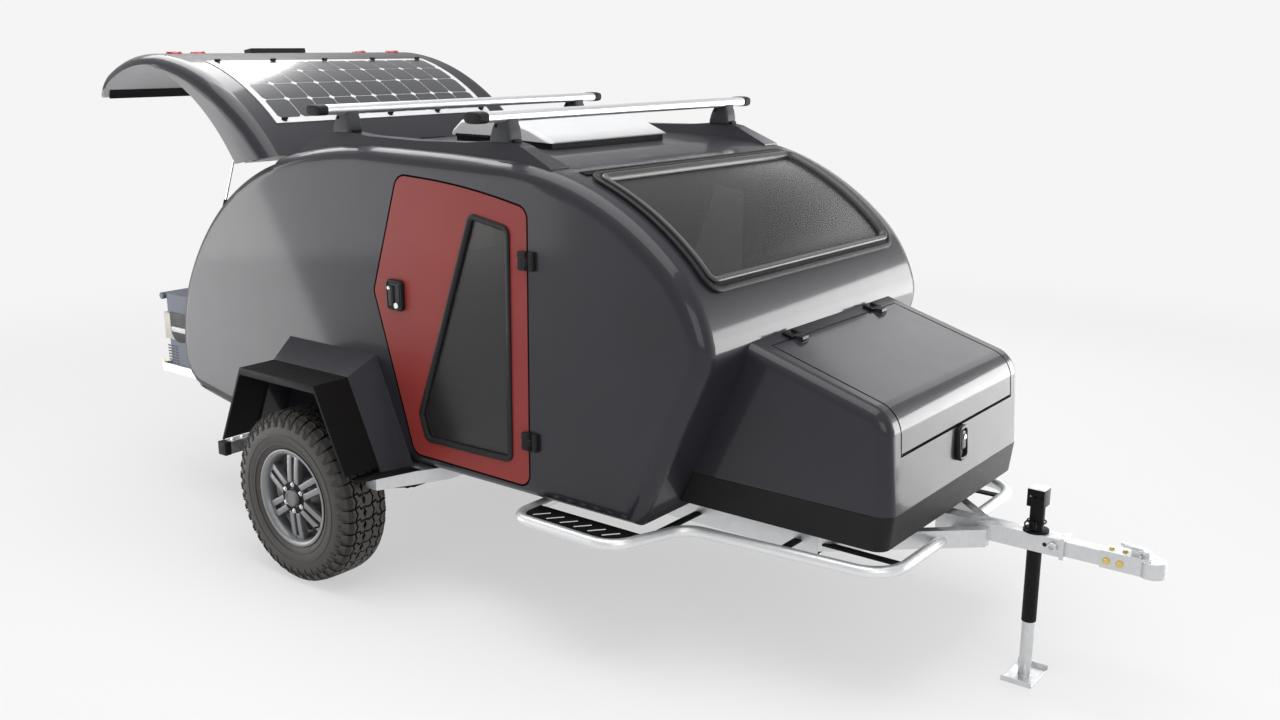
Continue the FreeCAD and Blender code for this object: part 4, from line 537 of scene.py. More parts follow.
def plate(outline, place, low, high, soft=0.0, segments=2):
    """A plate with an outline of (u, v); place(u, v, w) says where it lies."""
    mesh = solid_loft([[place(u, v, w) for u, v in outline] for w in (low, high)], caps=True)
    return softened(mesh, soft, segments, 50.0) if soft else mesh


# %% Joining, moving and mirroring
def merged(meshes):
    points = []
    faces = []
    for mesh in meshes:
        start = len(points)
        points += [v.co for v in mesh.vertices]
        faces += [tuple(start + i for i in p.vertices) for p in mesh.polygons]
    return as_mesh(points, faces)


def moved(mesh, matrix):
    mesh = mesh.copy()
    mesh.transform(matrix)
    if matrix.determinant() < 0:
        mesh.flip_normals()
    return mesh


def to_side(mesh, side):
    """The right-hand mesh as it is, or its mirror image on the left."""
    return mesh if side < 0 else moved(mesh, Matrix.Scale(-1, 4, (0, 1, 0)))


def on_both(mesh):
    return [to_side(mesh, side) for name, side in SIDES]


# %% [markdown]
# `piece` puts a mesh in the scene with its finish, and says which body it
# rides on and which solids it stands for.

# %% Pieces
def piece(name, mesh, finish, body="trailer", stands_for=(), smooth=35.0):
    if isinstance(mesh, list):
        mesh = merged(mesh)
    mesh.name = name
    obj = linked(name, mesh)
    wear(finish, obj)
    mesh.shade_smooth()
    mesh.set_sharp_from_angle(angle=math.radians(smooth))
    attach(obj, body)
    if stands_for:
        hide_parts(*stands_for)
    return obj


# %% [markdown]
# ## Geometry trees
# What repeats is laid out by a geometry tree: it takes one small mesh and a
# few named sizes, and gives all the copies. `Pattern` builds such a tree with
# the same kind of expressions as a finish, and `grown` turns its result into
# a plain mesh. `evaluated` does that last step for any modifier.

# %% A small language for geometry trees
class Pattern(Finish):
    KINDS = {int: "NodeSocketInt", float: "NodeSocketFloat", Vector: "NodeSocketVector"}

    def __init__(self, name, **sizes):
        self.tree = bpy.data.node_groups.new(name, "GeometryNodeTree")
        sockets = self.tree.interface
        sockets.new_socket("Geometry", in_out="INPUT", socket_type="NodeSocketGeometry")
        self.keys = {}
        for key, value in sizes.items():
            socket = sockets.new_socket(key, in_out="INPUT", socket_type=self.KINDS[type(value)])
            socket.default_value = value
            self.keys[key] = socket.identifier
        sockets.new_socket("Geometry", in_out="OUTPUT", socket_type="NodeSocketGeometry")
        self.start = self.tree.nodes.new("NodeGroupInput")
        self.shape = Value(self, self.start.outputs[0])

    def size(self, key):
        return Value(self, self.start.outputs[key])

    def copies(self, places, shape=None, **how):
        return self.node("GeometryNodeInstanceOnPoints", None, places, Instance=shape or self.shape, **how)

    def end(self, shape, finish):
        """Realize Instances and Set Material close every tree."""
        real = self.node("GeometryNodeRealizeInstances", None, shape)
        painted = self.node("GeometryNodeSetMaterial", None, real, Material=finish.material)
        out = self.tree.nodes.new("NodeGroupOutput")
        self.tree.links.new(painted.socket, out.inputs[0])
        return self


# %% Plain meshes from modifiers
def evaluated(mesh, kind, **settings):
    """The mesh as one modifier leaves it."""
    obj = linked("work", mesh)
    modifier = obj.modifiers.new("work", kind)
    for key, value in settings.items():
        if hasattr(modifier, key):
            setattr(modifier, key, value)
        else:
            modifier[key] = value
    graph = bpy.context.evaluated_depsgraph_get()
    graph.update()
    whole = obj.evaluated_get(graph)
    result = bpy.data.meshes.new_from_object(whole, preserve_all_data_layers=True, depsgraph=graph)
    bpy.data.objects.remove(obj)
    return result


def grown(pattern, mesh, **sizes):
    """Runs a tree on a mesh; each size goes in by its socket's identifier."""
    return evaluated(mesh, "NODES", node_group=pattern.tree, **{pattern.keys[k]: v for k, v in sizes.items()})


def ring_of(name, finish, count):
    """Copies of a mesh turned about an axle that runs along Y."""
    tree = Pattern(name, Centre=Vector((0, 0, 0)), Count=count)
    points = tree.node("GeometryNodePoints", None, Count=tree.size("Count"), Position=tree.size("Centre"))
    number = tree.node("GeometryNodeInputIndex")
    turn = number * (2 * math.pi) / tree.size("Count")
    spin = tree.node("ShaderNodeCombineXYZ", None, 0.0, turn, 0.0)
    return tree.end(tree.copies(points, Rotation=spin), finish)

# %% [markdown]
# ## Wheels
# An all-terrain tyre is a plain carcass with separate blocks of rubber on it.
# The carcass is turned from a profile. One pitch of the tread, five blocks
# side by side, is drawn flat, wrapped over the carcass and copied round it by
# a geometry tree. Each block's outline is the cell between zigzag grooves,
# moved inwards by half the groove, so that neighbours interlock.

# %% The tyre's carcass
TREAD_PITCHES = 42
GROOVE = 0.0072
TYRE_MID = (TYRE_HIGH.y + TYRE_LOW.y) / 2
CROWN = TYRE_RADIUS - TREAD_DEPTH - 0.0005
# half of the carcass from the middle of the tread to the bead: across, radius
CARCASS = [
    (0.000, CROWN), (0.040, CROWN - 0.0006), (0.070, CROWN - 0.0022), (0.088, CROWN - 0.0060),
    (0.0985, CROWN - 0.0130), (0.1050, CROWN - 0.0230), (0.1095, CROWN - 0.0350), (0.1135, CROWN - 0.0500),
    (0.1160, CROWN - 0.0680), (0.1165, CROWN - 0.0860), (0.1135, CROWN - 0.1060), (0.1080, CROWN - 0.1240),
    (0.1030, CROWN - 0.1360), (0.0990, CROWN - 0.1440), (0.0930, CROWN - 0.1500), (0.0860, CROWN - 0.1520),
]
profile = [(-t, r) for t, r in reversed(CARCASS[1:])] + CARCASS


def arc_length(points):
    lengths = [0.0]
    for (a, b), (c, d) in zip(points, points[1:]):
        lengths.append(lengths[-1] + math.hypot(c - a, d - b))
    return lengths


ALONG = arc_length(CARCASS)


def on_carcass(round_way, across, height):
    """A point on the tread: distance round the tyre, distance across it from the middle, and height."""
    side = 1 if across >= 0 else -1
    s = min(abs(across), ALONG[-1] - 1e-6)
    i = max(k for k, length in enumerate(ALONG) if length <= s)
    share = (s - ALONG[i]) / (ALONG[i + 1] - ALONG[i])
    (t0, r0), (t1, r1) = CARCASS[i], CARCASS[i + 1]
    t = t0 + (t1 - t0) * share
    r = r0 + (r1 - r0) * share
    length = math.hypot(t1 - t0, r1 - r0)
    t += height * (r0 - r1) / length
    r += height * (t1 - t0) / length
    a = round_way / TYRE_RADIUS
    return Vector((r * math.sin(a), side * t, r * math.cos(a)))


# %% Rubber blocks
def shrunk(polygon, step):
    """A flat polygon with every edge moved inwards."""
    out = []
    count = len(polygon)
    for i in range(count):
        a, p, b = Vector(polygon[i - 1]), Vector(polygon[i]), Vector(polygon[(i + 1) % count])
        d1 = (p - a).normalized()
        d2 = (b - p).normalized()
        n1 = Vector((-d1.y, d1.x))
        n2 = Vector((-d2.y, d2.x))
        mean = (n1 + n2).normalized()
        out.append(p + mean * (step / max(mean.dot(n1), 0.35)))
    return out


# %% One pitch of tread
PITCH = 2 * math.pi * TYRE_RADIUS / TREAD_PITCHES
MID_ROW = 0.021              # where the grooves between the rows run, and how far they weave
OUTER_ROW = 0.061
WEAVE = 0.0055
SHOULDER_START = 0.085
SHOULDER_END = 0.118
SHOULDER_FALL = 0.16         # height lost for each metre past the shoulder's start
LOWEST_LUG = 0.0045
LUG_END = 0.146
FOOT_SUNK = 0.002            # the blocks' feet reach into the carcass
TOP_BEVEL = 0.0016           # the bevel round a block's top: how far in, and how deep
TOP_BEVEL_DEEP = 0.0014


def tread_height(v):
    """Full depth on the crown, less towards the sidewall."""
    v = abs(v)
    if v < SHOULDER_START:
        return TREAD_DEPTH
    return max(LOWEST_LUG, TREAD_DEPTH - (v - SHOULDER_START) * SHOULDER_FALL)


def tread_block(polygon):
    """One rubber block: a foot on the carcass, a wall and a slightly smaller top."""
    foot = shrunk(polygon, GROOVE / 2)
    top = shrunk(polygon, GROOVE / 2 + TOP_BEVEL)
    rings = [[on_carcass(u, v, -FOOT_SUNK) for u, v in foot],
             [on_carcass(u, v, tread_height(v) - TOP_BEVEL_DEEP) for u, v in foot],
             [on_carcass(u, v, tread_height(v)) for u, v in top]]
    return loft(rings, caps=True)


HALF_PITCH = PITCH / 2


def zigzag(row, back=False, first=False):
    """Three points of a groove's middle line over one pitch."""
    swing = WEAVE if first else -WEAVE
    return [(0, row + swing), (HALF_PITCH, row - swing), (PITCH, row + swing)][::-1 if back else 1]


centre = zigzag(-MID_ROW) + [(PITCH + 0.007, 0.0)] + zigzag(MID_ROW, True) + [(0.007, 0.0)]
inner = (zigzag(MID_ROW) + [(PITCH - 0.009, 0.038), (PITCH + 0.005, 0.046)]
         + zigzag(OUTER_ROW, True, True) + [(0.005, 0.046), (-0.009, 0.038)])
outer = (zigzag(OUTER_ROW, False, True)
         + [(PITCH - 0.003, 0.088), (PITCH - 0.001, 0.104), (PITCH - 0.001, SHOULDER_END),
            (HALF_PITCH + 0.005, SHOULDER_END), (HALF_PITCH + 0.003, LUG_END),
            (0.004, LUG_END - 0.004), (-0.001, 0.104), (-0.003, 0.088)])
# the other side's blocks are turned half a turn, not mirrored, as on a real tread
turned_round = [[(PITCH - u, -v) for u, v in outline] for outline in (inner, outer)]
tread_pitch = reworked(merged([tread_block(outline) for outline in [centre, *turned_round, inner, outer]]))
print("tread pitch:", len(tread_pitch.polygons), "faces, one each", round(PITCH * 1000, 1), "mm")

# %% [markdown]
# The rim is an alloy casting: a barrel, and a face with six pairs of flat
# spokes. One pair is drawn and copied round, like the tread. The spokes lean
# back towards the rim, so the face looks dished.

# %% The rim's barrel
RIM_RADIUS = 0.2085
RIM_SEAT = 0.190
FACE_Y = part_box("wheel_right")[0].y + 0.018      # the spokes' face near the hub, on the right
SPOKES = 6
HUB_BOLTS = 6
BOLT_CIRCLE = 0.0572

# the rim's section: across from the middle, radius
BARREL = [
    (-0.1035, 0.2000), (-0.1040, 0.2060), (-0.1030, RIM_RADIUS), (-0.1000, RIM_RADIUS), (-0.0975, 0.2040),
    (-0.0960, 0.1960), (-0.0900, RIM_SEAT + 0.001), (-0.0600, RIM_SEAT), (-0.0450, RIM_SEAT),
    (-0.0280, 0.1660), (0.0200, 0.1660), (0.0400, RIM_SEAT), (0.0900, RIM_SEAT), (0.0975, 0.2000),
    (0.0980, 0.2060), (0.1000, RIM_RADIUS), (0.1035, 0.2070), (0.1035, 0.1980), (0.0980, 0.1840),
    (0.0400, 0.1830), (0.0180, 0.1590), (-0.0300, 0.1590), (-0.0440, 0.1780), (-0.0700, 0.1800),
    (-0.0800, 0.1840), (-0.0960, 0.1880), (-0.1005, 0.1930),
]


# %% One pair of spokes, and one bolt
def spoke_pair():
    """Two parallel flat spokes that point up from the hub, on the right-hand wheel."""
    bars = []
    # distance from the axle, outer face, inner face, half width
    stations = [(0.058, 0.000, 0.036, 0.0125), (0.085, 0.001, 0.034, 0.0128), (0.130, 0.004, 0.034, 0.0130),
                (0.165, 0.008, 0.036, 0.0135), (0.184, 0.011, 0.040, 0.0150)]
    for x, spread in ((-0.0200, -0.0035), (0.0200, 0.0035)):
        rings = []
        for r, out, back, wide in stations:
            mid = x + spread * (r - 0.058) / 0.126
            rings.append([(mid - wide, FACE_Y + back, r), (mid + wide, FACE_Y + back, r),
                          (mid + wide, FACE_Y + out, r), (mid - wide, FACE_Y + out, r)])
        bars.append(softened(solid_loft(rings, caps=True), 0.0028, 2, 40.0))
    # the roots that tie the pair together at the rim and at the hub
    for r0, r1, out in ((0.172, 0.186, 0.012), (0.052, 0.066, 0.0015)):
        bars.append(block((-0.022, FACE_Y + out, r0), (0.022, FACE_Y + 0.034, r1), 0.002))
    return merged(bars)


def wheel_bolt():
    """A hex bolt in its pocket, at the top of the bolt circle."""
    def on_circle(u, v, w):
        return u, FACE_Y + w, BOLT_CIRCLE + v
    head = plate(disc_profile(0.0075, 6), on_circle, -0.006, 0.004, 0.001)
    washer = turned([(FACE_Y - 0.0010, 0.0105), (FACE_Y + 0.004, 0.0115), (FACE_Y + 0.004, 0.004),
                     (FACE_Y - 0.0010, 0.004)], (0, 0, BOLT_CIRCLE), steps=24, closed=True)
    return merged([head, washer])


# %% [markdown]
# Everything on a wheel is drawn round an axle through the origin. It is then
# put in its place on the right, and mirrored for the left.

# %% Rings of a wheel
def face_ring(profile, steps=64, closed=False):
    """A profile of (behind the spokes' face, radius) turned about the axle."""
    return turned([(FACE_Y + t, r) for t, r in profile], steps=steps, closed=closed)


LINING = [(0.080, RIM_SEAT + 0.012), (0.1000, 0.262), (0.098, 0.318), (-0.098, 0.318), (-0.1000, 0.262),
          (-0.080, RIM_SEAT + 0.012)]
carcass = turned([(TYRE_MID + t, r) for t, r in profile + LINING], steps=128, closed=True)
ridges = []
for t, r in ((-0.1165, 0.272), (-0.1105, 0.236)):
    ridge = [(t - 0.0012, r - 0.003), (t - 0.0022, r), (t - 0.0012, r + 0.003)]
    ridges.append(turned([(TYRE_MID + across, radius) for across, radius in ridge], steps=128))
barrel = turned([(TYRE_MID + t, r) for t, r in BARREL], steps=128, closed=True)
hub_face = face_ring([(0.034, 0.030), (0.034, 0.068), (0.006, 0.070), (0.001, 0.066), (0.001, 0.046),
                      (0.008, 0.043), (0.008, 0.030)], closed=True)
cap = face_ring([(0.010, 0.0), (0.010, 0.037), (-0.012, 0.0355), (-0.0155, 0.033), (-0.0160, 0.028),
                 (-0.0130, 0.0265), (-0.0125, 0.0)])
bolt_ring = face_ring([(-0.0005, 0.043), (-0.0005, 0.0675), (0.0015, 0.0685), (0.0020, 0.043)], closed=True)
valve = turned([(0.0, 0.0035), (0.020, 0.0035), (0.022, 0.0045), (0.030, 0.0045), (0.031, 0.0)],
               (0.150, 0, -0.093), steps=16)
valve = moved(valve, Matrix.Translation((0, TYRE_MID - 0.080, 0)) @ Matrix.Scale(-1, 4, (0, 1, 0)))

# %% Wheels with tyres
for name, side in SIDES:
    body = name + "_wheel"
    treads = grown(ring_of("tread_" + name, tyre_rubber, TREAD_PITCHES), tread_pitch.copy())
    tyre = merged([carcass, *ridges, moved(treads, Matrix.Translation((0, TYRE_MID, 0)))])
    spokes = grown(ring_of("spokes_" + name, wheel_grey, SPOKES), spoke_pair())
    bolts = grown(ring_of("bolts_" + name, bright_steel, HUB_BOLTS), wheel_bolt())
    rim = merged([barrel, spokes, hub_face])
    # name, mesh, finish, slot, what it stands for, smoothing
    parts = [("tyre_dressed_", tyre, tyre_rubber, "tyre_rubber", ("tyre_" + name,), 40.0),
             ("rim_", rim, wheel_grey, "alloy", ("wheel_" + name,), 35.0),
             ("hub_cap_", cap, dark_metal, "alloy", (), 35.0),
             ("bolt_ring_", bolt_ring, steel_black, "alloy", (), 35.0),
             ("wheel_bolts_", bolts, bright_steel, "alloy", (), 35.0),
             ("valve_", valve, rubber_black, "tyre_rubber", (), 35.0)]
    for kind, mesh, finish, slot, stands_for, smooth in parts:
        placed = to_side(moved(mesh, Matrix.Translation((AXLE_X, 0, TYRE_RADIUS))), side)
        piece(kind + name, placed, finish, body, stands_for, smooth)
print("tyre:", len(tyre.polygons), "faces; rim:", len(rim.polygons), "faces")

# %% [markdown]
# ## Rounding the solids' edges
# No real edge is perfectly sharp: a pressed or moulded part catches a line of
# light along each edge. A solid with flat faces is copied, its triangles are
# joined back into whole faces, and a bevel rounds what is sharper than an
# angle. The copy then stands for the solid.

# %% A finished copy of a solid
SAME_PLANE = math.radians(0.6)


def mesh_of(node):
    """A merged copy of a solid's mesh, with whole flat faces."""
    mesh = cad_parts[node].data.copy()
    mesh.materials.clear()
    bm = bmesh.new()
    bm.from_mesh(mesh)
    bmesh.ops.remove_doubles(bm, verts=bm.verts, dist=MERGE)
    bmesh.ops.dissolve_limit(bm, angle_limit=SAME_PLANE, verts=bm.verts, edges=bm.edges)
    bm.to_mesh(mesh)
    bm.free()
    return mesh


def flat_faced(obj):
    """Lets each large face keep its own shading, with the turn left to the bevel."""
    obj.data = evaluated(obj.data, "WEIGHTED_NORMAL", keep_sharp=True, weight=100)
    return obj


def finished(node, finish, width, body="trailer", segments=2, sharper=28.0):
    """The solid with rounded edges, as a piece that stands for it."""
    mesh = softened(mesh_of(node), width, segments, sharper)
    return flat_faced(piece(node + "_finished", mesh, finish, body, (node,), 40.0))


# %% [markdown]
# ## On the roof
# Two load bars cross the roof on dark grey foot covers. The bars are drawn
# aluminium with the section of a flattened oval, closed by rubber caps. A
# superellipse gives that section with one formula: the exponent decides how
# square it looks.

# %% Crossbars
BAR_LOW, BAR_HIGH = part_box("crossbar_front")
BAR_HALF = BAR_HIGH.y
BAR_WIDE = BAR_HIGH.x - BAR_LOW.x
BAR_DEEP = 0.040
CAP_LONG = 0.042


def oval(wide, deep, square=0.62, steps=40):
    """A superellipse as (side, height) points."""
    def bent(value):
        return math.copysign(abs(value) ** square, value)
    angles = [2 * math.pi * i / steps for i in range(steps)]
    return [(bent(math.cos(a)) * wide / 2, bent(math.sin(a)) * deep / 2) for a in angles]


def oval_rings(stations, x, z):
    """Rings across the trailer from (place, scale) pairs."""
    return [[(x + u, y, z + v) for u, v in oval(BAR_WIDE * k, BAR_DEEP * k)] for y, k in stations]


for end in ("front", "rear"):
    low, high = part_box("crossbar_" + end)
    x = (low.x + high.x) / 2
    z = high.z - BAR_DEEP / 2
    bar = loft(oval_rings([(-BAR_HALF + 0.01, 0.99), (BAR_HALF - 0.01, 0.99)], x, z), caps=True)
    piece("crossbar_bar_" + end, reworked(bar), bar_silver, stands_for=("crossbar_" + end,))
    caps = []
    for side in (-1, 1):
        # distance past the bar's end, scale
        steps = [(-CAP_LONG, 1.0), (-CAP_LONG, 1.09), (-0.006, 1.09), (0.001, 1.02), (0.004, 0.80),
                 (0.005, 0.3)]
        stations = [(side * BAR_HALF + side * past, scale) for past, scale in steps]
        caps.append(solid_loft(oval_rings(stations, x, z), caps=True))
    piece("crossbar_caps_" + end, caps, trim_black)
print("crossbars:", round(2 * BAR_HALF, 3), "m long")

# %% [markdown]
# Each foot cover is one moulding that narrows towards the bar. Rings of a
# rounded rectangle, one above the other, loft into it. A hole for the lock
# goes right through. It is cut with a boolean, because one sees through it.

# %% Foot covers
FOOT_Y = WALL_Y - 0.097
FOOT_STEPS = [(0.000, 0.050, 0.036, 0.010), (0.014, 0.050, 0.036, 0.010), (0.034, 0.047, 0.035, 0.010),
              (0.056, 0.041, 0.033, 0.009), (0.068, 0.035, 0.031, 0.008), (0.084, 0.033, 0.030, 0.008)]


def cut(mesh, tool):
    """The mesh with the tool taken away."""
    cutter = linked("cutter", tool)
    result = evaluated(mesh, "BOOLEAN", operation="DIFFERENCE", solver="EXACT", object=cutter)
    bpy.data.objects.remove(cutter)
    return result


def foot_cover(x, side, base):
    rings = []
    for up, half_x, half_y, radius in FOOT_STEPS:
        corners = [(-half_x, -half_y), (half_x, -half_y), (half_x, half_y), (-half_x, half_y)]
        lean = 0.10 * up
        rings.append([(x + u + lean, side * FOOT_Y + v, base + up) for u, v in rounded(corners, radius, 4)])
    body = softened(solid_loft(rings, caps=True), 0.002, 2, 50.0)
    hole = rod(-0.06, 0.06, 0.0075, (x - 0.016, side * FOOT_Y, base + 0.058), core=0.0)
    y = side * FOOT_Y
    claw = block((x + 0.030, y - 0.020, base - 0.002), (x + 0.064, y + 0.020, base + 0.010), 0.003)
    clamp = block((x - 0.030, y - 0.024, base + 0.078), (x + 0.030, y + 0.024, base + 0.098), 0.004)
    return cut(body, hole), merged([claw, clamp])


pod_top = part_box("roof_pods")[1].z
covers = []
clamps = []
for end in ("front", "rear"):
    low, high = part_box("crossbar_" + end)
    for side in (-1, 1):
        cover, clamp = foot_cover((low.x + high.x) / 2, side, pod_top - 0.001)
        covers.append(cover)
        clamps.append(clamp)
piece("foot_covers", covers, cast_grey)
piece("foot_clamps", clamps, steel_black)

# %% [markdown]
# The roof vent's lid is a thin white moulding over a black gasket. Along the
# rear of each side it has a row of narrow louvres. A geometry tree sets one
# louvre on each point of a line.

# %% Roof vent
LINE = {"mode": "OFFSET", "count_mode": "TOTAL"}


def row_of(name, finish):
    """Copies of a mesh along a line: from Start, Step apart."""
    tree = Pattern(name, Start=Vector((0, 0, 0)), Step=Vector((0.1, 0, 0)), Count=3)
    line = tree.node("GeometryNodeMeshLine", LINE, Count=tree.size("Count"),
                     Start_Location=tree.size("Start"), Offset=tree.size("Step"))
    return tree.end(tree.copies(line), finish)


def along_line(name, finish, mesh, start, step, count):
    tree = row_of(name, finish)
    return grown(tree, mesh, Start=tuple(start), Step=tuple(step), Count=count)


finished("roof_vent_lid", white_plastic, 0.009, segments=3)
VENT_LOW, VENT_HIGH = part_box("roof_vent_lid")
louvre = block((-0.0105, -0.004, -0.006), (0.0105, 0.004, 0.006), 0.002)
louvres = []
for side in (-1, 1):
    start = Vector((VENT_LOW.x + 0.035, side * (VENT_HIGH.y + 0.0005), VENT_LOW.z + 0.016))
    louvres.append(along_line("louvres", trim_black, louvre, start, (0.0245, 0, -0.0002), 9))
piece("vent_louvres", louvres, trim_black)
print("vent louvres:", len(louvres) * 9)

# %% [markdown]
# ## Nose window
# The window is a curved acrylic pane on a black frame. Both follow the nose,
# which bends only one way, so a drawing made flat on the window's chord can
# be dropped square onto the nose. A ray cast at the nose panel, beside the
# window, gives the height above the chord at each place.

# %% The nose as a drawing surface
from mathutils.bvhtree import BVHTree

WINDOW_TOP_X = 1.268
WINDOW_BOTTOM_Z = 1.378
WINDOW_HALF = WALL_Y - 0.127
WINDOW_CORNER = 0.070


def tree_of(*nodes):
    points = []
    faces = []
    for node in nodes:
        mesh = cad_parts[node].data
        start = len(points)
        points += [v.co.copy() for v in mesh.vertices]
        faces += [[start + i for i in p.vertices] for p in mesh.polygons]
    return BVHTree.FromPolygons(points, faces)


def struck(tree, origin, direction):
    hit = tree.ray_cast(Vector(origin), Vector(direction).normalized())
    assert hit[0] is not None, "a ray missed the body"
    return hit[0]


class Drape:
    """Carries (along, across, lift) onto a surface that bends about Y, from a chord between two points."""

    def __init__(self, tree, first, last, reach=0.006, above=0.6):
        self.tree = tree
        self.reach = reach
        self.above = above
        self.run = (last - first).normalized()
        self.out = Vector((-self.run.z, 0, self.run.x))
        if self.out.z < 0:
            self.out = -self.out
        self.middle = (first + last) / 2
        self.half = (last - first).length / 2

    def drop(self, along):
        return struck(self.tree, self.middle + self.run * along + self.out * self.above, -self.out)

    def frame(self, along):
        """The spot, the way along the surface and the way out of it."""
        run = (self.drop(along + self.reach) - self.drop(along - self.reach)).normalized()
        out = Vector((-run.z, 0, run.x))
        return self.drop(along), run, (-out if out.dot(self.out) < 0 else out)

    def at(self, along, across, lift=0.0):
        spot, run, out = self.frame(along)
        spot += out * lift
        return Vector((spot.x, across, spot.z))

    def dress(self, mesh):
        for vert in mesh.vertices:
            vert.co = self.at(*vert.co)
        return reworked(mesh)


# %% The window's chord
nose_tree = tree_of("nose_panel", "roof_panel")
BARE_Y = -(WINDOW_HALF + 0.03)
window_top = struck(nose_tree, (AXLE_X + WINDOW_TOP_X, BARE_Y, 3), (0, 0, -1))
window_foot = struck(nose_tree, (AXLE_X + 4, BARE_Y, WINDOW_BOTTOM_Z), (-1, 0, 0))
nose = Drape(nose_tree, window_top, window_foot, 0.012, 1.0)


def window_outline(step, steps=8):
    """The window's outline moved inwards, as points down and across the chord."""
    a, b = nose.half - step, WINDOW_HALF - step
    sparse = rounded([(-a, -b), (a, -b), (a, b), (-a, b)], max(WINDOW_CORNER - step, 0.012), steps)
    dense = []
    for p, q in zip(sparse, sparse[1:] + sparse[:1]):
        count = max(1, round(math.dist(p, q) / 0.03))
        dense += [(p[0] + (q[0] - p[0]) * i / count, p[1] + (q[1] - p[1]) * i / count) for i in range(count)]
    return dense


def ring_on_nose(step, profile):
    """A profile of (outwards, lift) carried round the window."""
    outline = window_outline(step)
    count = len(outline)
    rings = []
    for i, (u, v) in enumerate(outline):
        before, after = outline[i - 1], outline[(i + 1) % count]
        go = Vector((after[0] - before[0], after[1] - before[1])).normalized()
        away = Vector((go.y, -go.x))
        if away.dot(Vector((u, v))) < 0:
            away = -away
        rings.append([nose.at(u + away.x * w, v + away.y * w, h) for w, h in profile])
    return solid_loft(rings, closed=True)


# %% Frame and pane edge
frame_profile = [(0.003, -0.004), (0.006, 0.005), (0.004, 0.0125), (-0.003, 0.0155), (-0.012, 0.0150),
                 (-0.016, 0.0090), (-0.022, 0.0080), (-0.040, 0.0075), (-0.046, 0.0050), (-0.048, -0.008),
                 (-0.034, -0.012)]
piece("nose_window_surround", ring_on_nose(0.0, frame_profile), rubber_black,
      stands_for=("nose_window_frame",), smooth=50.0)
pane_edge = [(0.004, 0.0085), (0.005, 0.0150), (0.0025, 0.0205), (-0.002, 0.0225), (-0.009, 0.0215),
             (-0.016, 0.0150), (-0.0215, 0.0060), (-0.022, -0.0010)]
piece("nose_window_pane_edge", ring_on_nose(0.031, pane_edge), pane_gloss, smooth=60.0)

# %% [markdown]
# Above the window runs its hinge: three narrow ribs of extruded aluminium,
# painted black, from side to side. Each is a short profile lofted across, and
# each one up the roof is a little lower than the one before.

# %% Window hinge rail
RAIL_HALF = WINDOW_HALF - 0.012
rail = []
for k, lift in enumerate((0.0065, 0.0055, 0.0045)):
    spot, run, out = nose.frame(-nose.half - 0.008 - 0.013 * k)
    section = [(-0.0052, -0.002), (-0.0052, lift * 0.6), (-0.003, lift), (0.003, lift), (0.0052, lift * 0.6),
               (0.0052, -0.002)]
    rings = [[spot + run * a + out * b + Vector((0, y - spot.y, 0)) for a, b in section]
             for y in (-RAIL_HALF, RAIL_HALF)]
    rail.append(softened(solid_loft(rings, caps=True), 0.0008, 1, 50.0))
piece("nose_window_hinge", rail, steel_black)
print("nose window: chord", round(2 * nose.half, 3), "m by", round(2 * WINDOW_HALF, 3), "m")

# %% [markdown]
# ## Doors
# A door is drawn by its corners, each with its own rounding. Everything that
# follows its edge, such as a gasket or a window rubber, is one ring: a small
# profile of (inwards, outwards) carried round the same corners.

# %% Rings that follow a drawn outline
DOOR_CORNERS = [(0.426, 1.702), (0.800, 1.684), (1.098, 1.622), (1.083, 0.579), (0.459, 0.586),
                (0.261, 1.232)]
DOOR_RADII = [0.060, 3.200, 0.045, 0.045, 0.045, 0.050]
PANE_CORNERS = [(0.815, 1.586), (1.014, 1.551), (1.002, 0.657), (0.533, 0.651), (0.499, 0.762)]
PANE_RADII = [0.035] * 5


def inset(corners, step):
    """A polygon with every side moved inwards."""
    corners = [Vector(c) for c in corners]
    count = len(corners)
    area = sum(corners[i - 1].cross(corners[i]) for i in range(count))
    turn = 1 if area > 0 else -1
    result = []
    for i, corner in enumerate(corners):
        a = (corner - corners[i - 1]).normalized()
        b = (corners[(i + 1) % count] - corner).normalized()
        inward = Vector((-a.y, a.x)) + Vector((-b.y, b.x))
        result.append(corner + inward * (turn * step / (1 + a.dot(b))))
    return result


def outline_ring(corners, radii, profile, place, steps=8):
    rings = []
    for inwards, lift in profile:
        shrunk = [max(r - inwards, 0.003) for r in radii]
        rings.append([place(u, v, lift) for u, v in rounded(inset(corners, inwards), shrunk, steps)])
    return solid_loft(rings, closed=True)


def on_wall(u, v, lift):
    """A point on the right-hand wall, lifted outwards."""
    return from_axle(u, -WALL_Y - lift, v)


# %% Door leaves and gaskets
# The gaskets lie over the wall's edge round each door; their near-black matte is painted shade for the door's
# gap.
gasket = [(-0.0012, -0.0030), (-0.0018, 0.0004), (-0.0070, 0.0008), (-0.0080, -0.0008), (-0.0048, -0.018),
          (-0.0015, -0.018)]
for name, side in SIDES:
    finished("side_wall_" + name, shell_paint, 0.0025, sharper=30.0)
    finished("door_" + name, door_paint, 0.0028, name + "_door", sharper=32.0)
piece("door_gaskets", on_both(outline_ring(DOOR_CORNERS, DOOR_RADII, gasket, on_wall)), gap_painted_shade)

# %% [markdown]
# The pane sits in a rubber ring that stands a little proud of the door, with
# a soft lip against the glass. The latch is a paddle in a black bezel, with a
# chrome lock and a chrome screw. Its bezel is a ring round four corners.

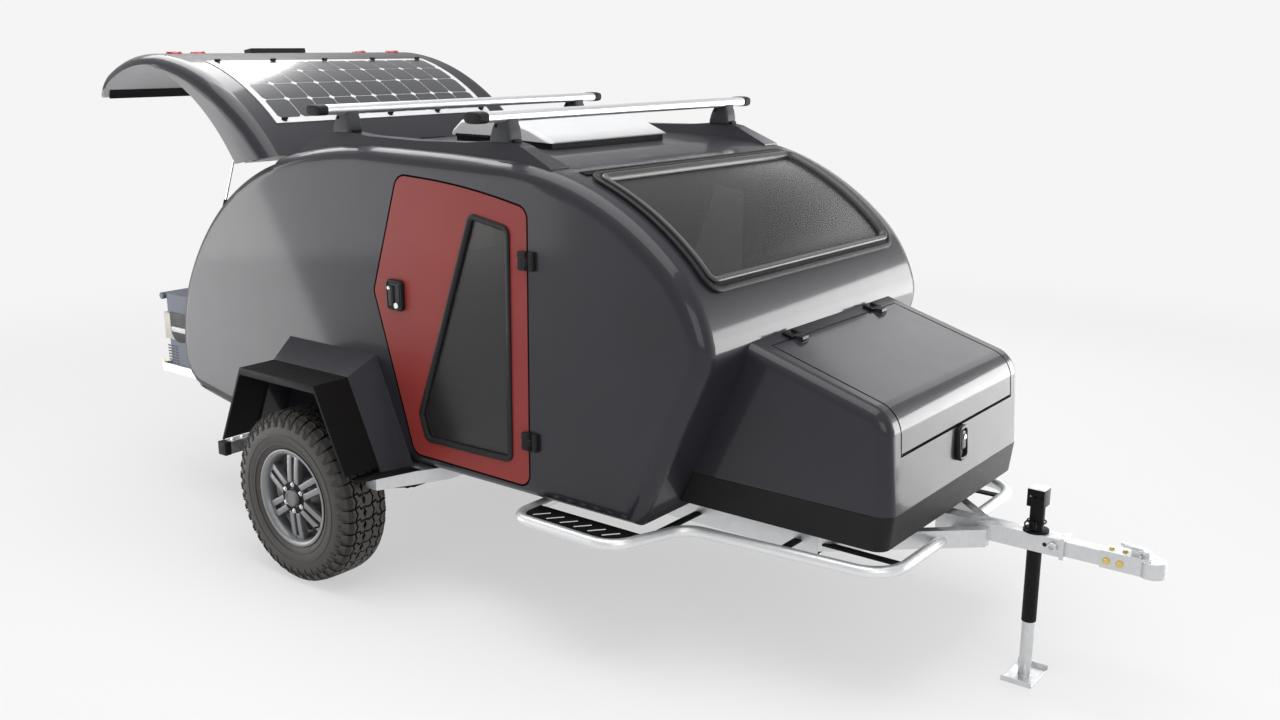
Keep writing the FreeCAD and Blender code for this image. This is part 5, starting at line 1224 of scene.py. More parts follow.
# %% Window rubber and latch
LATCH = [(0.348, 1.290), (0.440, 1.290), (0.440, 1.168), (0.348, 1.168)]
lip = [(-0.0020, -0.001), (-0.0018, 0.0060), (0.0010, 0.0082), (0.0060, 0.0086), (0.0170, 0.0072),
       (0.0205, 0.0045), (0.0215, -0.0040), (0.0190, -0.0100), (0.0170, -0.0100), (0.0100, 0.0010)]
rubber = outline_ring(PANE_CORNERS, PANE_RADII, lip, on_wall)
bezel_profile = [(0.0, 0.0), (-0.0005, 0.012), (0.0025, 0.0175), (0.0070, 0.0185), (0.0105, 0.0170),
                 (0.0120, 0.0140), (0.0125, 0.0)]
bezel = outline_ring(LATCH, [0.018] * 4, bezel_profile, on_wall, 6)
well = plate(rounded(inset(LATCH, 0.010), 0.010, 6), on_wall, -0.002, 0.0148)


def wall_block(u0, u1, v0, v1, low, high, soft):
    a, b = on_wall(u0, v0, low), on_wall(u1, v1, high)
    return block((a.x, b.y, a.z), (b.x, a.y, b.z), soft, 3)


paddle = wall_block(0.362, 0.394, 1.182, 1.268, 0.010, 0.0195, 0.004)
grip = wall_block(0.421, 0.428, 1.182, 1.276, 0.010, 0.0185, 0.003)
dome = [(0.0, 0.0085), (-0.0025, 0.0085), (-0.0045, 0.0065), (-0.0052, 0.0030), (-0.0053, 0.0002)]
lock = [(0.0, 0.0125), (-0.0040, 0.0125), (-0.0055, 0.0110), (-0.0055, 0.0060), (-0.0040, 0.0055),
        (-0.0040, 0.0002)]
chrome = [turned(dome, on_wall(0.367, 1.256, 0.0165), steps=32),
          turned(lock, on_wall(0.406, 1.189, 0.0148), steps=40)]

# %% [markdown]
# Each hinge's arm and leaf lie under two black covers. The moving cover
# reaches to the pin, and a short knuckle goes round the pin itself.

# %% Hinge covers
HINGE_X = 1.102
HINGE_OUT = 0.012            # pin axis outside the wall
HINGE_HALF = 0.035
sleeve = [(-0.0106, 0.001), (-0.0106, 0.0096), (0.0106, 0.0096), (0.0106, 0.001)]
moving = []
fixed = []
for z in (0.759, 1.437):
    z0, z1 = z - HINGE_HALF, z + HINGE_HALF
    moving.append(wall_block(HINGE_X - 0.040, HINGE_X, z0, z1, -0.0005, 0.0175, 0.006))
    moving.append(turned(sleeve, on_wall(HINGE_X, z, HINGE_OUT), "Z", 24))
    fixed.append(wall_block(HINGE_X + 0.0095, HINGE_X + 0.036, z0, z1, -0.0005, 0.0165, 0.006))

# %% Put them on both doors
for name, side in SIDES:
    parts = [("door_rubber_", rubber, rubber_black, 50.0, "window_rubber"),
             ("latch_bezel_", merged([bezel, paddle, grip]), handle_black, 35.0, "black_trim"),
             ("latch_well_", well, rubber_black, 35.0, "black_trim"),
             ("latch_chrome_", merged(chrome), bright_steel, 35.0, "rod_chrome"),
             ("hinge_covers_", merged(moving), trim_black, 35.0, "black_trim")]
    for kind, mesh, finish, smooth, slot in parts:
        piece(kind + name, to_side(mesh, side), finish, name + "_door", (), smooth)
piece("hinge_covers_fixed", on_both(merged(fixed)), trim_black)
print("doors dressed:", len(SIDES))

# %% [markdown]
# ## Hatch
# The hatch stands open over the galley. Its skin is one thick moulding whose
# inside is painted pale grey. The liner here is a copy of the faces that look
# inwards, moved a hair off the skin: a face belongs to it if it looks towards
# a point in the hollow, and isn't part of the skin's side edges.

# %% Skin and liner
hatch = finished("hatch_shell", shell_paint, 0.003, "rear_hatch", sharper=34.0)
HATCH_LOW, HATCH_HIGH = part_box("hatch_shell")
LINER_LIFT = 0.0006
LOOKS_IN = 0.18              # least cosine between a face and the way to the hollow
SIDE_EDGE = 0.010
inside_of = Vector(((HATCH_LOW.x + HATCH_HIGH.x) / 2, 0, HATCH_LOW.z - 0.55))


def liner(obj):
    """The faces of a shell that look towards its hollow side."""
    bm = bmesh.new()
    bm.from_mesh(obj.data)
    outer = []
    for face in bm.faces:
        middle = face.calc_center_median()
        looks_in = face.normal.dot((inside_of - middle).normalized()) > LOOKS_IN
        if not looks_in or abs(middle.y) > HATCH_HIGH.y - SIDE_EDGE:
            outer.append(face)
    bmesh.ops.delete(bm, geom=outer, context="FACES")
    for vert in bm.verts:
        vert.co += vert.normal * LINER_LIFT
    mesh = bpy.data.meshes.new("liner")
    bm.to_mesh(mesh)
    bm.free()
    return mesh


inner = liner(hatch)
piece("hatch_liner", inner, inner_paint, "rear_hatch", smooth=45.0)
print("liner faces:", len(inner.polygons))

# %% [markdown]
# ## Solar panel
# The panel is a thin white sheet bent over the hatch, with ten by four dark
# cells. A flat mesh grid has one point for each cell, and a geometry tree
# puts a copy of one cell on each. The flat drawing is then dropped onto the
# bent sheet, point by point, as the window was onto the nose.

# %% The bent sheet
PANEL_LOW, PANEL_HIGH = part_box("solar_panel")
panel_tree = tree_of("solar_panel")
ends = [struck(panel_tree, (x, 0.0, 4.0), (0, 0, -1)) for x in (PANEL_LOW.x + 0.012, PANEL_HIGH.x - 0.012)]
panel = Drape(panel_tree, ends[0], ends[1])

# %% Cells
CELL = 0.1255
CELL_COLUMNS = 10
CELL_ROWS = 4
CELL_HALF = CELL / 2 - 0.0016
CELL_CHAMFER = 0.0135

solar_cell = Finish("solar_cell", "panel_cells", (0.030, 0.031, 0.036), 0.30, Coat_Weight=0.5,
                    Coat_Roughness=0.12)
fingers = solar_cell.node("ShaderNodeTexWave", {"bands_direction": "Y"}, Vector=solar_cell.place, Scale=95.0)
solar_cell.set("Base Color", solar_cell.blend(solar_cell.ramp(fingers, (0.80, 0.0), (0.98, 1.0)),
                                              (0.026, 0.027, 0.031), (0.050, 0.051, 0.056)))


def cell_mesh():
    """A square with cut corners, in strips, so that it can bend."""
    h, c = CELL_HALF, CELL_CHAMFER
    places = [-h, -h + c] + [(-h + c) + (2 * h - 2 * c) * i / 6 for i in range(1, 6)] + [h - c, h]
    rings = []
    for u in places:
        half = h - c if abs(u) > h - c / 2 else h
        rings.append([(u, -half, 0.0), (u, half, 0.0)])
    return loft(rings, around=False)


def cell_grid(finish):
    tree = Pattern("cell_grid", Pitch=CELL, Columns=CELL_COLUMNS, Rows=CELL_ROWS, Lift=0.0007)
    pitch = tree.size("Pitch")
    wide = pitch * (tree.size("Rows") - 1.0)
    tall = pitch * (tree.size("Columns") - 1.0)
    grid = tree.node("GeometryNodeMeshGrid", None, wide, tall, tree.size("Rows"), tree.size("Columns"))
    raise_by = tree.node("ShaderNodeCombineXYZ", None, 0.0, 0.0, tree.size("Lift"))
    raised = tree.node("GeometryNodeSetPosition", None, grid, Offset=raise_by)
    return tree.end(tree.copies(raised), finish)


cells = grown(cell_grid(solar_cell), cell_mesh())
piece("solar_cells", panel.dress(cells), solar_cell, "rear_hatch", smooth=60.0)
print("cells:", CELL_COLUMNS * CELL_ROWS, "faces:", len(cells.polygons))

# %% [markdown]
# Black turn-fasteners hold the sheet along its two long edges. Each is a
# small round foot with a wing on top.

# %% Turn-fasteners
SHEET_HALF_LONG = panel.half + 0.010
SHEET_HALF_WIDE = (PANEL_HIGH.y - PANEL_LOW.y) / 2


def fastener():
    foot_profile = [(-0.014, 0.0), (-0.014, 0.013), (0.002, 0.013), (0.004, 0.010), (0.004, 0.0)]
    foot = turned(foot_profile, axis="Z", steps=20)
    wing = block((-0.016, -0.0045, 0.003), (0.016, 0.0045, 0.013), 0.003)
    return merged([foot, wing])


fasteners = []
for edge in (-1, 1):
    for i in range(5):
        across = (SHEET_HALF_WIDE - 0.050) * (-1 + 2 * i / 4)
        along = edge * (SHEET_HALF_LONG - 0.013)
        spot, lifted = panel.at(along, across), panel.at(along, across, 0.1)
        turn = (lifted - spot).to_track_quat("Z", "Y").to_matrix().to_4x4()
        fasteners.append(moved(fastener(), Matrix.Translation(spot) @ turn))
piece("panel_fasteners", fasteners, trim_black, "rear_hatch")

# %% [markdown]
# ## Lamps, plate and struts on the hatch
# The marker lamps are flat and red, and the number plate's black bracket is
# blank. These solids have the right shape already, so only their edges are
# rounded. The same goes for the gas struts' tubes and rods.

# %% Lamps, plate and struts
finished("marker_lamps", lamp_lens, 0.002, "rear_hatch")
finished("plate_bracket", trim_black, 0.002, "rear_hatch")
finished("hatch_foot_seal", rubber_black, 0.003, "rear_hatch")
for name, side in SIDES:
    finished("strut_rod_" + name, bright_steel, 0.0006, name + "_strut_shaft", 1, 40.0)
    finished("strut_cylinder_" + name, steel_black, 0.0015, name + "_strut_tube", 2, 40.0)
print("hatch dressed")

# %% [markdown]
# ## Nose locker
# The locker is one moulding over a black skirt, and its lid bends down over
# the front. A rubber seal fills the gap round the lid, level with the surface
# on both sides. Its near-black matte is painted shade, so that the gap reads
# as a dark line.

# %% Locker, lid and seal
LOCKER_LATCH_Z = (0.752, 0.880)
LOCKER_FRONT_X = 2.439       # its front face at the skirt
LOCKER_FRONT_LEAN = 0.0616   # how far it leans back for each metre of height
SKIRT_TOP_Z = 0.690
LID_HALF = 0.460
LID_GAP = 0.005
LID_REAR_X = 1.925
SEAL_LOW = -0.0016           # the seal's middle line, under the surface


def on_front(across, up, lift):
    """A point on the locker's front face, lifted forwards."""
    return from_axle(LOCKER_FRONT_X - LOCKER_FRONT_LEAN * (up - SKIRT_TOP_Z) + lift, across, up)


tub = mesh_of("locker_tub")
latch_top = on_front(0.0, LOCKER_LATCH_Z[1], 0.004).x
for vert in tub.vertices:
    on_latch = abs(vert.co.y) < 0.0225 and 0.76 < vert.co.z < 0.87
    if on_latch and vert.co.x > latch_top:
        vert.co.x = on_front(0.0, vert.co.z, -0.004).x
tub = softened(tub, 0.0035, 3, 28.0)
flat_faced(piece("locker_tub_finished", tub, shell_paint, stands_for=("locker_tub",), smooth=40.0))
finished("locker_lid", shell_paint, 0.0025, "box_lid")
finished("locker_skirt", trim_black, 0.004, segments=3)

# %% The seal's way round the lid
lid_low, lid_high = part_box("locker_lid")
box_tree = tree_of("locker_tub", "locker_lid")
rear = struck(box_tree, (lid_low.x + 0.060, 0.15, 3.0), (0, 0, -1))
front = on_front(0.15, lid_low.z + 0.010, 0.0)
over_box = Drape(box_tree, rear, front)
over_box.middle.y = 0.15
down = [over_box.half * (-1.09 + 2.06 * i / 40) for i in range(41)]
edge = LID_HALF + LID_GAP / 2
left_side = [over_box.at(a, edge, SEAL_LOW) for a in down]
front_foot = [over_box.at(down[-1] + 0.011, edge * k, SEAL_LOW) for k in (1.0, -1.0)]
right_side = [over_box.at(a, -edge, SEAL_LOW) for a in reversed(down)]
strip = [(-0.0024, -0.006), (0.0024, -0.006), (0.0034, 0.002), (-0.0034, 0.002)]


def away_from_box(point):
    out = point - from_axle(1.95, 0, 0.72)
    return Vector((out.x, 0, out.z))


seal = sweep(left_side + front_foot + right_side, strip, up=away_from_box)
# the seal's matte near black is painted shade for the lid's gap
piece("locker_seal", seal, gap_painted_shade)

# %% [markdown]
# Two small black hinges carry the lid. Each is drawn level at the origin and
# then tilted onto the slope of the locker's top.

# %% Lid hinges
LID_HINGE = (LID_REAR_X - 0.003, 1.18908)
LID_SLOPE = math.atan(0.30662)
tilt = Matrix.Rotation(LID_SLOPE, 4, "Y")
lid_parts = []
tub_parts = []
for y in (-0.300, 0.300):
    put = Matrix.Translation(from_axle(LID_HINGE[0], y, LID_HINGE[1])) @ tilt
    sleeve = turned([(-0.0195, 0.001), (-0.0195, 0.0068), (0.0195, 0.0068), (0.0195, 0.001)], steps=24)
    arm = block((0.004, -0.0195, -0.0055), (0.044, 0.0195, 0.0045), 0.003)
    lid_parts.append(moved(merged([sleeve, arm]), put))
    for y0, y1 in ((-0.041, -0.0207), (0.0207, 0.041)):
        pad = block((-0.036, y0, -0.0055), (-0.004, y1, 0.0045), 0.003)
        ring = turned([(y0, 0.001), (y0, 0.0068), (y1, 0.0068), (y1, 0.001)], steps=24)
        tub_parts.append(moved(merged([pad, ring]), put))
    screw = [(0.0, 0.0035), (0.0012, 0.0030), (0.0016, 0.0002)]
    screws = [turned(screw, (x, 0, 0.0044), "Z", 16) for x in (0.020, 0.034)]
    lid_parts.append(moved(merged(screws), put))
piece("lid_hinge_arms", lid_parts, steel_black, "box_lid")
piece("lid_hinge_pads", tub_parts, steel_black)

# %% Locker latch
LOCKER_LATCH = [(-0.037, LOCKER_LATCH_Z[0]), (0.037, LOCKER_LATCH_Z[0]), (0.037, LOCKER_LATCH_Z[1]),
                (-0.037, LOCKER_LATCH_Z[1])]
bezel_profile = [(0.0, -0.001), (-0.0005, 0.010), (0.0030, 0.0150), (0.0085, 0.0165), (0.0125, 0.0145),
                 (0.0140, 0.0060), (0.0142, -0.001)]
bezel = outline_ring(LOCKER_LATCH, [0.026] * 4, bezel_profile, on_front, 8)
well = plate(rounded(inset(LOCKER_LATCH, 0.0135), 0.013, 8), on_front, -0.003, 0.0045)
blade_outline = rounded([(-0.0185, 0.793), (0.0185, 0.793), (0.0185, 0.862), (-0.0185, 0.862)], 0.012, 6)
blade = softened(plate(blade_outline, on_front, 0.002, 0.0150), 0.005, 3, 50.0)
key_profile = [(0.0, 0.0095), (0.0030, 0.0095), (0.0042, 0.0082), (0.0044, 0.0002)]
key = turned(key_profile, on_front(0.004, 0.838, 0.0148), "X", 32)
piece("locker_latch_bezel", merged([bezel, blade]), handle_black, smooth=50.0)
piece("locker_latch_well", well, rubber_black)
piece("locker_latch_key", key, bright_steel)
print("locker seal points:", len(left_side) * 2 + 2)

# %% [markdown]
# ## Chassis, tongue and jack
# The welded frame is galvanised. Its edges are rounded like rolled steel, and
# the black fenders get a lip along their outer edge.

# %% Frame, fenders and bumper
for node, finish, width, segments in (
        ("chassis_frame", zinc_plate, 0.003, 2), ("tongue_frame", zinc_plate, 0.003, 2),
        ("tongue_extension", zinc_plate, 0.002, 2), ("coupler", zinc_plate, 0.004, 3),
        ("fenders", steel_black, 0.0025, 2), ("step_plates", steel_black, 0.0012, 2),
        ("bumper_ties", steel_black, 0.0015, 2)):
    finished(node, finish, width, segments=segments)

FENDER_LOW, FENDER_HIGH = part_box("fenders")
FENDER_X = (FENDER_LOW.x + FENDER_HIGH.x) / 2
FOOT_HALF = (FENDER_HIGH.x - FENDER_LOW.x) / 2
TOP_HALF = 0.240
LIP_DEEP = 0.032
LEG_LIP = 0.013


def on_fender(u, v, lift):
    return Vector((FENDER_X + u, -FENDER_HIGH.y - lift, v))


top, foot = FENDER_HIGH.z, FENDER_LOW.z
lean = (FOOT_HALF - TOP_HALF) / (top - foot)
drop = LIP_DEEP * lean
outer = [(-FOOT_HALF, foot), (-TOP_HALF, top), (TOP_HALF, top), (FOOT_HALF, foot)]
inner = [(FOOT_HALF - LEG_LIP, foot), (TOP_HALF + drop - LEG_LIP, top - LIP_DEEP),
         (-TOP_HALF - drop + LEG_LIP, top - LIP_DEEP), (-FOOT_HALF + LEG_LIP, foot)]
lip = plate(outer + inner, on_fender, -0.0045, 0.0005, 0.0015)
piece("fender_lips", on_both(lip), steel_black)

# %% [markdown]
# The front outriggers carry a black tread plate, and the rear ones a black
# end cap and two bolts. A bolt's hexagonal head is a turned profile with six
# steps.

# %% Outrigger plates and caps
FRAME_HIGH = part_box("chassis_frame")[1]
RAIL_TOP = FRAME_HIGH.z
OUTRIGGER_DEEP = 0.056
REAR_OUTRIGGER = (-0.473, -0.423)
FRONT_PLATE = [(0.366, 0.815), (0.366, FRAME_HIGH.y - 0.022), (0.428, FRAME_HIGH.y - 0.022), (0.498, 0.834),
               (0.505, 0.815)]


def standing(profile, steps):
    """A profile of (height, radius) turned about the vertical, over the origin."""
    return turned(profile, axis="Z", steps=steps)


def hexagon(across, tall):
    """A bolt head on a washer."""
    corner, rim = across * 0.577, across * 0.80
    head = standing([(0.002, 0.0002), (0.002, corner), (tall - 0.001, corner), (tall, across * 0.50),
                     (tall, 0.0002)], 6)
    washer = standing([(-0.0005, 0.0002), (-0.0005, rim), (0.0018, rim), (0.0022, across * 0.74),
                       (0.0022, 0.0002)], 20)
    return merged([head, washer])


def faced(mesh, spot, direction):
    """A mesh that stands up +Z, turned to face a direction and put at a spot."""
    turn = Vector(direction).to_track_quat("Z", "Y").to_matrix().to_4x4()
    return moved(mesh, Matrix.Translation(spot) @ turn)


tread_plate = plate(FRONT_PLATE, lambda u, v, w: from_axle(u, -v, RAIL_TOP + w), -0.001, 0.003, 0.001)
piece("outrigger_plates", on_both(tread_plate), steel_black)
x0, x1 = REAR_OUTRIGGER
low = from_axle(x0 - 0.0015, -FRAME_HIGH.y - 0.002, RAIL_TOP - OUTRIGGER_DEEP - 0.0015)
high = from_axle(x1 + 0.0015, -FRAME_HIGH.y + 0.030, RAIL_TOP + 0.0015)
piece("outrigger_caps", on_both(block(low, high, 0.003)), trim_black)
bolts = []
for name, side in SIDES:
    for inwards in (0.055, 0.105):
        spot = from_axle(x0 + 0.025, side * (FRAME_HIGH.y - inwards), RAIL_TOP)
        bolts.append(faced(hexagon(0.013, 0.008), spot, (0, 0, 1)))
piece("outrigger_bolts", bolts, bright_steel)

# %% [markdown]
# The tongue's tube is bolted to the coupler with six yellow-zinc bolts, two
# on top and two on each side. A round boss stands on each side near its end.

# %% Tongue fittings
COUPLER_LOW, COUPLER_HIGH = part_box("coupler")
EXT_LOW, EXT_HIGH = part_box("tongue_extension")
TONGUE_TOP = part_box("tongue_frame")[1].z
shank_half = 0.031
shank_mid = EXT_LOW.z + (EXT_HIGH.z - EXT_LOW.z) / 2
gold = []
for x in (COUPLER_LOW.x + 0.022, COUPLER_LOW.x + 0.066):
    for side in (-1, 1):
        gold.append(faced(hexagon(0.017, 0.009), (x, side * shank_half, shank_mid - 0.004), (0, side, 0)))
    gold.append(faced(hexagon(0.013, 0.007), (x + 0.006, 0, shank_mid + shank_half), (0, 0, 1)))
piece("coupler_bolts", gold, yellow_zinc)

tube_half = 0.032
boss = standing([(0.0, 0.0002), (0.0, 0.017), (0.012, 0.017), (0.014, 0.015), (0.014, 0.009), (0.006, 0.0085),
                 (0.006, 0.0002)], 32)
fittings = [faced(boss, from_axle(2.800, side * tube_half, shank_mid + 0.002), (0, side, 0))
            for side in (-1, 1)]
weld = disc_profile(0.0035, 8)
for side in (-1, 1):
    path = [from_axle(2.570, side * (tube_half + 0.0005), z) for z in (0.468, 0.500, 0.528)]
    fittings.append(sweep(path, weld, up=(1, 0, 0)))
piece("tongue_fittings", fittings, zinc_plate)

# Each hole is a thin near-black disc on the tube's side: painted shade for the dark inside of the hole.
mark = rod(0.0, 0.0006, 0.0075, axis="Z", steps=28)
painted_hole_shades = [faced(mark, from_axle(2.772, side * (tube_half + 0.0002), shank_mid + 0.002), (0, side, 0))
              for side in (-1, 1)]
piece("tongue_holes_painted_shade", painted_hole_shades, rubber_black)

# %% Coupler latch
latch_x = COUPLER_HIGH.x - 0.085
lever = [(-0.060, 0.030), (0.012, 0.014), (0.022, 0.014), (0.022, 0.018), (0.010, 0.019), (-0.060, 0.037)]
plan = plate(lever, lambda u, v, w: Vector((latch_x + u, w, COUPLER_HIGH.z - 0.030 + v)), -0.019, 0.019,
             0.0015)
pin = rod(-0.030, 0.030, 0.005, (latch_x + 0.008, 0, COUPLER_HIGH.z - 0.022), steps=20)
piece("coupler_lever", [plan, pin], zinc_plate)

# %% [markdown]
# The jack's head is a folded black box with three holes through it. They are
# cut with a boolean, as the lock holes of the roof feet were.

# %% Jack head
MAST_LOW, MAST_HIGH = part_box("jack_mast")
JACK_X = (MAST_LOW.x + MAST_HIGH.x) / 2
head = softened(mesh_of("jack_mast"), 0.002, 2, 32.0)
for x, radius in ((-0.019, 0.0028), (0.0, 0.0052), (0.019, 0.0028)):
    head = cut(head, rod(-0.06, 0.06, radius, (JACK_X + x, 0, MAST_HIGH.z - 0.026), steps=20, core=0.0))
piece("jack_mast_finished", head, steel_black, stands_for=("jack_mast",))
finished("jack_leg", zinc_plate, 0.0012)
lid_low = (JACK_X - 0.029, -0.029, MAST_HIGH.z - 0.001)
lid_high = (JACK_X + 0.029, 0.029, MAST_HIGH.z + 0.0025)
piece("jack_lid", block(lid_low, lid_high, 0.0015), tube_silver)

# %% Jack clip and foot
wire = disc_profile(0.0028, 8)
clip = [(JACK_X + u, v, TONGUE_TOP + 0.030) for u, v in disc_profile(0.0315, 40)]
pull = [(JACK_X + u - 0.010, -0.046, TONGUE_TOP + 0.028 + v) for u, v in disc_profile(0.015, 28)]
ears = [block((JACK_X - 0.012, side * 0.033 - 0.006, TONGUE_TOP + 0.008),
              (JACK_X + 0.012, side * 0.033 + 0.006, TONGUE_TOP + 0.036), 0.002) for side in (-1, 1)]
loops = [sweep(clip, wire, closed=True), sweep(pull, wire, closed=True, up=(0, 1, 0))]
piece("jack_clip", loops + ears, steel_black)
FOOT_LOW, FOOT_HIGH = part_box("jack_leg")
turn_ups = []
for sign in (-1, 1):
    y = sign * (FOOT_HIGH.y - 0.004)
    lip_profile = ((-0.0035, 0.002), (0.0035, 0.002), (0.0045, 0.020), (0.001, 0.020))
    outline = [(y + sign * out, z) for out, z in lip_profile]
    rings = [[(x, u, v) for u, v in outline] for x in (FOOT_LOW.x, FOOT_HIGH.x)]
    turn_ups.append(softened(solid_loft(rings, caps=True), 0.001, 1, 40.0))
piece("jack_foot_edges", turn_ups, zinc_plate)
print("tongue fittings:", len(gold) + len(fittings))

# %% [markdown]
# ## Galley
# A portable fridge stands on a tray that slides out under the hatch. Its
# case is blue-grey, with a pale band that holds a dark handle recess, and a
# grille of short slots low on the side. Each slot is one small near-black
# block, painted shade for its opening, and the blocks lie on a grid: a line
# of copies, set on every point of another line.

# %% Fridge
FRIDGE_LOW, FRIDGE_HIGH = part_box("fridge")
BAND_LOW, BAND_HIGH = 0.788, 0.917
finished("fridge", fridge_blue, 0.010, "fridge_slide", 3)
finished("fridge_tray", tube_silver, 0.002, "fridge_slide")
REAR = FRIDGE_LOW.x


def on_fridge(u, v, lift):
    """A point on the fridge's right-hand side: distance from its rear, height."""
    return Vector((REAR + u, FRIDGE_LOW.y - lift, v))


def on_slide(name, mesh, finish):
    piece(name, mesh, finish, "fridge_slide")


band_rings = []
for z, grow in ((BAND_LOW, 0.0004), (BAND_LOW + 0.002, 0.0016), (BAND_HIGH - 0.002, 0.0016),
                (BAND_HIGH, 0.0004)):
    x0, x1, y0, y1 = FRIDGE_LOW.x - grow, FRIDGE_HIGH.x + grow, FRIDGE_LOW.y - grow, FRIDGE_HIGH.y + grow
    corners = [(x0, y0), (x1, y0), (x1, y1), (x0, y1)]
    band_rings.append([(x, y, z) for x, y in rounded(corners, 0.010 + grow, 4)])
on_slide("fridge_band", solid_loft(band_rings, caps=True), fridge_pale)

recess = rounded([(0.058, 0.926), (0.058, 0.780), (0.205, 0.780), (0.205, 0.926)],
                 [0.010, 0.062, 0.062, 0.010], 8)
handle = rounded([(0.070, 0.830), (0.195, 0.830), (0.195, 0.856), (0.070, 0.856)], 0.0125, 6)
on_slide("fridge_recess", plate(recess, on_fridge, -0.001, 0.0026, 0.001), rubber_black)
on_slide("fridge_handle", plate(handle, on_fridge, 0.0, 0.0090, 0.003), white_plastic)


def grid_of(name, finish, start, step_a, count_a, step_b, count_b):
    """Copies of a mesh on a grid: a line of instances on every point of another line."""
    tree = Pattern(name, Start=Vector(start), Along=Vector(step_a), Columns=count_a, Up=Vector(step_b),
                   Rows=count_b)
    row = tree.node("GeometryNodeMeshLine", LINE, Count=tree.size("Columns"),
                    Start_Location=tree.size("Start"), Offset=tree.size("Along"))
    rise = tree.node("GeometryNodeMeshLine", LINE, Count=tree.size("Rows"), Offset=tree.size("Up"))
    return tree.end(tree.copies(rise, tree.copies(row)), finish)


# each slot is a near-black block just proud of the side: painted shade for the slot's opening
slot_shade_block = block((-0.011, -0.0006, -0.0035), (0.011, 0.0010, 0.0035), 0.0)
grille_at = on_fridge(0.028, 0.668, 0.0)
grille = grid_of("fridge_grille", rubber_black, grille_at, (0.031, 0, 0), 3, (0, 0, 0.0142), 7)
on_slide("fridge_grille", grown(grille, slot_shade_block), rubber_black)
roll_profile = [(-0.002, 0.001), (-0.002, 0.014), (0.000, 0.0165), (0.396, 0.0165), (0.398, 0.014),
                (0.398, 0.001)]
roll = turned(roll_profile, (REAR - 0.006, FRIDGE_LOW.y + 0.002, FRIDGE_HIGH.z - 0.019), steps=32)
on_slide("fridge_roll", roll, fridge_blue)

# %% Fridge tray strip and its latch
TRAY_LOW, TRAY_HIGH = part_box("fridge_tray")
strip_mesh = block((TRAY_LOW.x + 0.022, TRAY_LOW.y + 0.002, TRAY_HIGH.z - 0.003),
                   (TRAY_LOW.x + 0.060, TRAY_HIGH.y - 0.002, TRAY_HIGH.z + 0.002), 0.001)
on_slide("tray_strip", strip_mesh, rubber_black)
bends = ((0.012, -0.020), (-0.004, -0.022), (-0.016, -0.016), (-0.018, -0.006), (-0.028, 0.002))
hook = [(TRAY_LOW.x + dx, TRAY_LOW.y + 0.030, TRAY_HIGH.z + dz) for dx, dz in bends]
on_slide("tray_hook", sweep(hook, disc_profile(0.0045, 10), up=(0, 1, 0)), yellow_zinc)

# %% [markdown]
# Inside, the boards are birch ply, and their cut edges are softened.

# %% Boards
for node in ("bulkhead", "cabin_shelf", "galley_unit"):
    finished(node, ply, 0.0018)

# %% [markdown]
# ## Mattress
# A foam mattress in a cloth cover fills the cabin's floor. It starts as a
# slightly small rounded block. A cloth simulation with air pressure inside
# swells it, a cap keeps it within the walls, and a welt is sewn round its
# upper and lower edges afterwards.

# %% Swell a padded block
BED_LOW, BED_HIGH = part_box("mattress")
SHRINK = 0.008
VOXEL = 0.011
SWELL_CAP = 0.0075
PRESSURE = 4.0
WALL_GAP = 0.001             # kept free round the mattress
WELT_RADIUS = 0.0045


def swollen(mesh, pressure, cap, frames=20):
    """Cloth under pressure, with no point farther than cap from its start."""
    obj = linked("swelling", mesh)
    scene = bpy.context.scene
    start = [v.co.copy() for v in mesh.vertices]
    cloth = obj.modifiers.new("cloth", "CLOTH")
    cloth.settings.use_pressure = True
    cloth.settings.uniform_pressure_force = pressure
    cloth.settings.effector_weights.gravity = 0.0
    cloth.settings.quality = 4
    cloth.point_cache.frame_start = 1
    cloth.point_cache.frame_end = frames
    for number in range(1, frames + 1):
        scene.frame_set(number)
    graph = bpy.context.evaluated_depsgraph_get()
    result = bpy.data.meshes.new_from_object(obj.evaluated_get(graph))
    scene.frame_set(1)
    bpy.data.objects.remove(obj)
    for vert, origin in zip(result.vertices, start):
        step = vert.co - origin
        if step.length > cap:
            vert.co = origin + step.normalized() * cap
    return result


low = BED_LOW + Vector((SHRINK, SHRINK, 0.001))
high = BED_HIGH - Vector((SHRINK, SHRINK, SHRINK))
bed = evaluated(block(low, high, 0.030, 4), "REMESH", mode="VOXEL", voxel_size=VOXEL)
bed = swollen(bed, PRESSURE, SWELL_CAP)
for vert in bed.vertices:
    vert.co.z = max(vert.co.z, BED_LOW.z + 0.0005)
    vert.co.x = min(max(vert.co.x, BED_LOW.x + WALL_GAP), BED_HIGH.x - WALL_GAP)
    vert.co.y = min(max(vert.co.y, BED_LOW.y + WALL_GAP), BED_HIGH.y - WALL_GAP)
mattress = piece("mattress_padded", bed, mattress_cloth, stands_for=("mattress",), smooth=80.0)

# %% Welt round the mattress
corners = [(low.x, low.y), (high.x, low.y), (high.x, high.y), (low.x, high.y)]
cord = disc_profile(WELT_RADIUS, 8)
welts = []
for z in (high.z - 0.014, low.z + 0.016):
    route = [(x, y, z) for x, y in rounded(inset(corners, -0.0015), 0.030, 8)]
    welts.append(sweep(route, cord, closed=True))
piece("mattress_welt", welts, mattress_cloth)
print("mattress points:", len(bed.vertices))

# %% [markdown]
# ## The studio
# A pale floor runs into a pale backdrop without a line. Close to the trailer
# it takes light and shadow as any floor does. Farther out it turns into an
# even glow, so that the horizon never shows.

